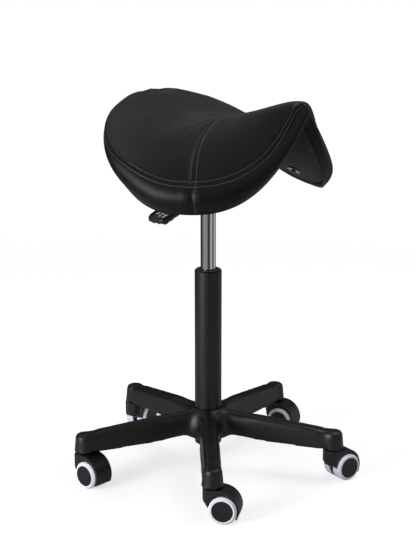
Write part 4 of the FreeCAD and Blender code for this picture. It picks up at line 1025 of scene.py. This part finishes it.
def add_base(material):
    """Hub, legs and leg tips as one skin, with blended corners and ribbed channels below.

    Each place is measured along and across its nearest leg. The blending weighs most round
    the hub, and a little where a leg runs into its tip. Faces that look down between the hub
    and the tips are pushed up to 6 mm below the leg's top, except at the walls and the ribs.
    """
    forms = [turned_form(HUB_PROFILE, 0.0)]
    for index in range(LEGS):
        heading = BASE_TURN + TAU / LEGS * index
        forms.append(headed(leg_form(), heading))
        forms.append(headed(turned_form(TIP_PROFILE, STEM_CIRCLE), heading))
    skin = welded(*joined(forms))
    places = read_points(skin) / MM
    reach = np.hypot(places[:, 0], places[:, 1])
    half_turn = TAU / LEGS / 2
    turn = np.arctan2(places[:, 1], places[:, 0]) - BASE_TURN
    turn = (turn + half_turn) % (2 * half_turn) - half_turn
    across = reach * np.sin(turn)
    along = reach * np.cos(turn)
    to_stem = np.hypot(along - STEM_CIRCLE, across)
    hub = np.clip((reach - 29.0) / 4, 0, 1) * np.clip((98.0 - reach) / 30, 0, 1)
    tip = np.clip(1 - np.abs(to_stem - 19.0) / 9.0, 0, 1) * (along < STEM_CIRCLE - 6)
    places = blended(skin, places, np.maximum(0.6 * hub, 0.25 * tip)[:, None])
    below = (read_points(skin, "normal")[:, 2] < -0.8) & (reach > 52) & (to_stem > 21)
    to_rib = np.min(np.abs(along[:, None] - np.array(RIB_PLACES)), axis=1)
    open_share = (np.clip(CHANNEL_HALF - np.abs(across), 0, 1)
                  * np.clip((to_rib - 1.7) / 0.8, 0, 1))
    rise = (leg_top(along) - CHANNEL_ROOF - places[:, 2]) * open_share
    places[:, 2] += np.where(below, rise, 0.0)
    places[:, 2] -= np.where((reach < RING_REACH) & (places[:, 2] > RING_LEVEL), RING_SINK, 0.0)
    skin.vertices.foreach_set("co", (places * MM).reshape(-1))
    open_bore(skin)
    skin.polygons.foreach_set("use_smooth", [True] * len(skin.polygons))
    skin.materials.clear()
    skin.materials.append(material)
    skin.update()
    item = bpy.data.objects.new("star_moulding", skin)
    bpy.context.collection.objects.link(item)
    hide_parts("base_star")
    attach(item, "base")


# Studio: a white floor and background, cards and soft lights

FLOOR_HALF = 40000.0
FLOOR_GLOW = 0.66
SKY_STRENGTH = 0.34
CARD_REACH = 1300.0
CARD_TOP = 900.0
CARD_SIDES = 72
# Angle of a card's edge from the camera's way ahead, in degrees, and its brightness there
CARDS = ((-96, 0.04), (-88, 0.26), (-50, 0.28), (-16, 0.34), (-8, 0.06), (24, 0.05), (32, 0.4),
         (60, 0.5), (66, 0.12), (86, 0.12), (96, 0.6), (124, 0.58), (132, 0.03))


def floor_paper(tree):
    """Matt white paper: it takes the shadows under the stool and fades into the background.

    From 0.7 to 2 m from the middle its own colour goes to black and the glow that only the
    camera sees goes to full white.
    """
    place = add_node(tree, "ShaderNodeTexCoord", give="Object")
    reach = add_node(tree, "ShaderNodeVectorMath", {0: place}, "Value", operation="LENGTH")
    far = add_node(tree, "ShaderNodeMapRange",
                   {"Value": reach, "From Min": 0.7, "From Max": 2.0}, "Result")
    glow = add_node(tree, "ShaderNodeMapRange", {"Value": far, "To Min": FLOOR_GLOW}, "Result")
    camera = add_node(tree, "ShaderNodeLightPath", give="Is Camera Ray")
    seen = add_node(tree, "ShaderNodeMath", {0: camera, 1: glow}, "Value", operation="MULTIPLY")
    colour = add_node(tree, "ShaderNodeMix", {"Factor": far, 6: linear("#C4C4C4"), 7: BLACK}, 2,
                      data_type="RGBA")
    return {"Base Color": colour, "Roughness": 1.0, "Specular IOR Level": 0.0,
            "Emission Color": WHITE, "Emission Strength": seen}


def add_floor():
    """A wide square of paper at floor height."""
    size = FLOOR_HALF
    corners = [(-size, -size, 0), (size, -size, 0), (size, size, 0), (-size, size, 0)]
    paper = new_material("floor_white", floor_paper)
    mesh_object("floor", corners, [(0, 1, 2, 3)], paper, smooth=False)


def card_paper(tree):
    """Grey and white cards: their brightness is read from the angle of Y and X about the
    column, between the edges of the cards."""
    place = add_node(tree, "ShaderNodeTexCoord", give="Object")
    where = add_node(tree, "ShaderNodeSeparateXYZ", {"Vector": place})
    angle = add_node(tree, "ShaderNodeMath", {0: where.outputs["Y"], 1: where.outputs["X"]},
                     "Value", operation="ARCTAN2")
    share = add_node(tree, "ShaderNodeMapRange",
                     {"Value": angle, "From Min": -math.pi, "From Max": math.pi}, "Result")
    ramp = add_node(tree, "ShaderNodeValToRGB", {"Fac": share})
    ahead = math.degrees(CAMERA_TURN) - 90
    stops = sorted((((offset + ahead + 180) % 360) / 360, value) for offset, value in CARDS)
    table = ramp.color_ramp.elements
    while len(table) < len(stops):
        table.new(0.5)
    for element, (position, value) in zip(table, stops):
        element.position = position
        element.color = (value, value, value, 1.0)
    return {"Base Color": BLACK, "Roughness": 1.0, "Specular IOR Level": 0.0,
            "Emission Color": ramp.outputs["Color"], "Emission Strength": 1.0}


def add_cards():
    """A ring of bright and dark cards round the stool that only its shiny parts see."""
    turn = np.arange(CARD_SIDES) / CARD_SIDES * TAU
    height = np.array([2.0, CARD_TOP])[:, None]
    ring = np.dstack([CARD_REACH * np.cos(turn) + 0 * height,
                      CARD_REACH * np.sin(turn) + 0 * height, height + 0 * turn])
    paper = new_material("studio_cards", card_paper)
    paper.cycles.emission_sampling = "NONE"
    cards = mesh_object("studio_cards", ring.reshape(-1, 3), grid_faces(2, CARD_SIDES).tolist(),
                        paper)
    cards.visible_camera = False
    cards.visible_diffuse = False
    cards.visible_shadow = False
    cards.visible_transmission = False


def add_light(name, place, target, size, power):
    """A white area light at a place in metres that looks at a target."""
    data = bpy.data.lights.new(name, "AREA")
    data.shape = "RECTANGLE"
    data.size, data.size_y = size
    data.energy = power
    light = bpy.data.objects.new(name, data)
    bpy.context.collection.objects.link(light)
    way = Vector(target) - Vector(place)
    light.matrix_world = (Matrix.Translation(Vector(place))
                          @ way.to_track_quat("-Z", "Y").to_matrix().to_4x4())


def add_world():
    """A white background for the camera, and a dimmer one for the light that it gives."""
    world = bpy.data.worlds.new("studio")
    bpy.context.scene.world = world
    world.use_nodes = True
    tree = world.node_tree
    tree.nodes.clear()
    seen = add_node(tree, "ShaderNodeBackground", {"Color": WHITE, "Strength": 1.0},
                    "Background")
    light = add_node(tree, "ShaderNodeBackground", {"Color": WHITE, "Strength": SKY_STRENGTH},
                     "Background")
    camera = add_node(tree, "ShaderNodeLightPath", give="Is Camera Ray")
    sky = add_node(tree, "ShaderNodeMixShader", {"Fac": camera, 1: light, 2: seen}, "Shader")
    add_node(tree, "ShaderNodeOutputWorld", {"Surface": sky})


# Dressing of the solids

def numbered(*names):
    """Each name with the number of each of the five casters."""
    return ["%s_%d" % (name, i) for name in names for i in range(1, LEGS + 1)]


def dress(names, material):
    """Give CAD nodes a material."""
    for name in names:
        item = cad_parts[name]
        item.data.materials.clear()
        item.data.materials.append(material)


def main():
    """The camera, the dressed solids, the new forms that replace some of them, and the studio."""
    bpy.context.scene.view_settings.view_transform = "Standard"
    add_camera()
    leather = new_material("black_leather", coated_leather)
    nylon = new_material("black_nylon", moulded_plastic, "#0B0B0C", 0.38, 0.5, 0.05, 0.5)
    smooth = new_material("black_plastic", moulded_plastic, "#0A0A0B", 0.36, 0.8, 0.02, 0.5)
    matt = new_material("matt_plastic", moulded_plastic, "#0F0F10", 0.55, 0.7, 0.03, 0.25)
    plywood = new_material("plywood", beech_plywood)
    plain = {name: new_material(name, mottled, *values) for name, values in MOTTLED.items()}
    dress(["base_star"] + numbered("caster_hood", "wheel_left", "wheel_right"), nylon)
    dress(numbered("tyre_left", "tyre_right"), plain["soft_tyre"])
    dress(["guide_bush", "lever_handle"], smooth)
    dress(["seat_pan"], matt)
    dress(["column_tube", "lift_housing", "seat_plate", "lever_rod", "pan_screws"],
          plain["black_paint"])
    dress(["gas_cylinder"], plain["chrome_steel"])
    dress(["thrust_bearing", "piston_rod", "retaining_clip", "release_pin", "plate_bolts",
           "plate_washers", "lever_pin", "pan_washers"] + numbered("caster_stem", "caster_axle"),
          plain["plain_steel"])
    dress(["seat_board"], plywood)
    dress(["bump_stop", "cylinder_gland"], plain["black_rubber"])
    dress(["piston"], plain["white_acetal"])
    upholstery = add_cushion(leather)
    add_stitches(*upholstery, plain["black_thread"])
    add_handle(smooth)
    add_sign(plain["white_print"])
    add_base(nylon)
    add_floor()
    add_cards()
    add_world()
    add_light("key", (0.5, 0.7, 2.7), (0.0, 0.0, 0.45), (1.5, 1.5), 24)
    add_light("side", (-0.5, -2.6, 0.8), (0.0, 0.0, 0.45), (1.0, 1.2), 62)


main()
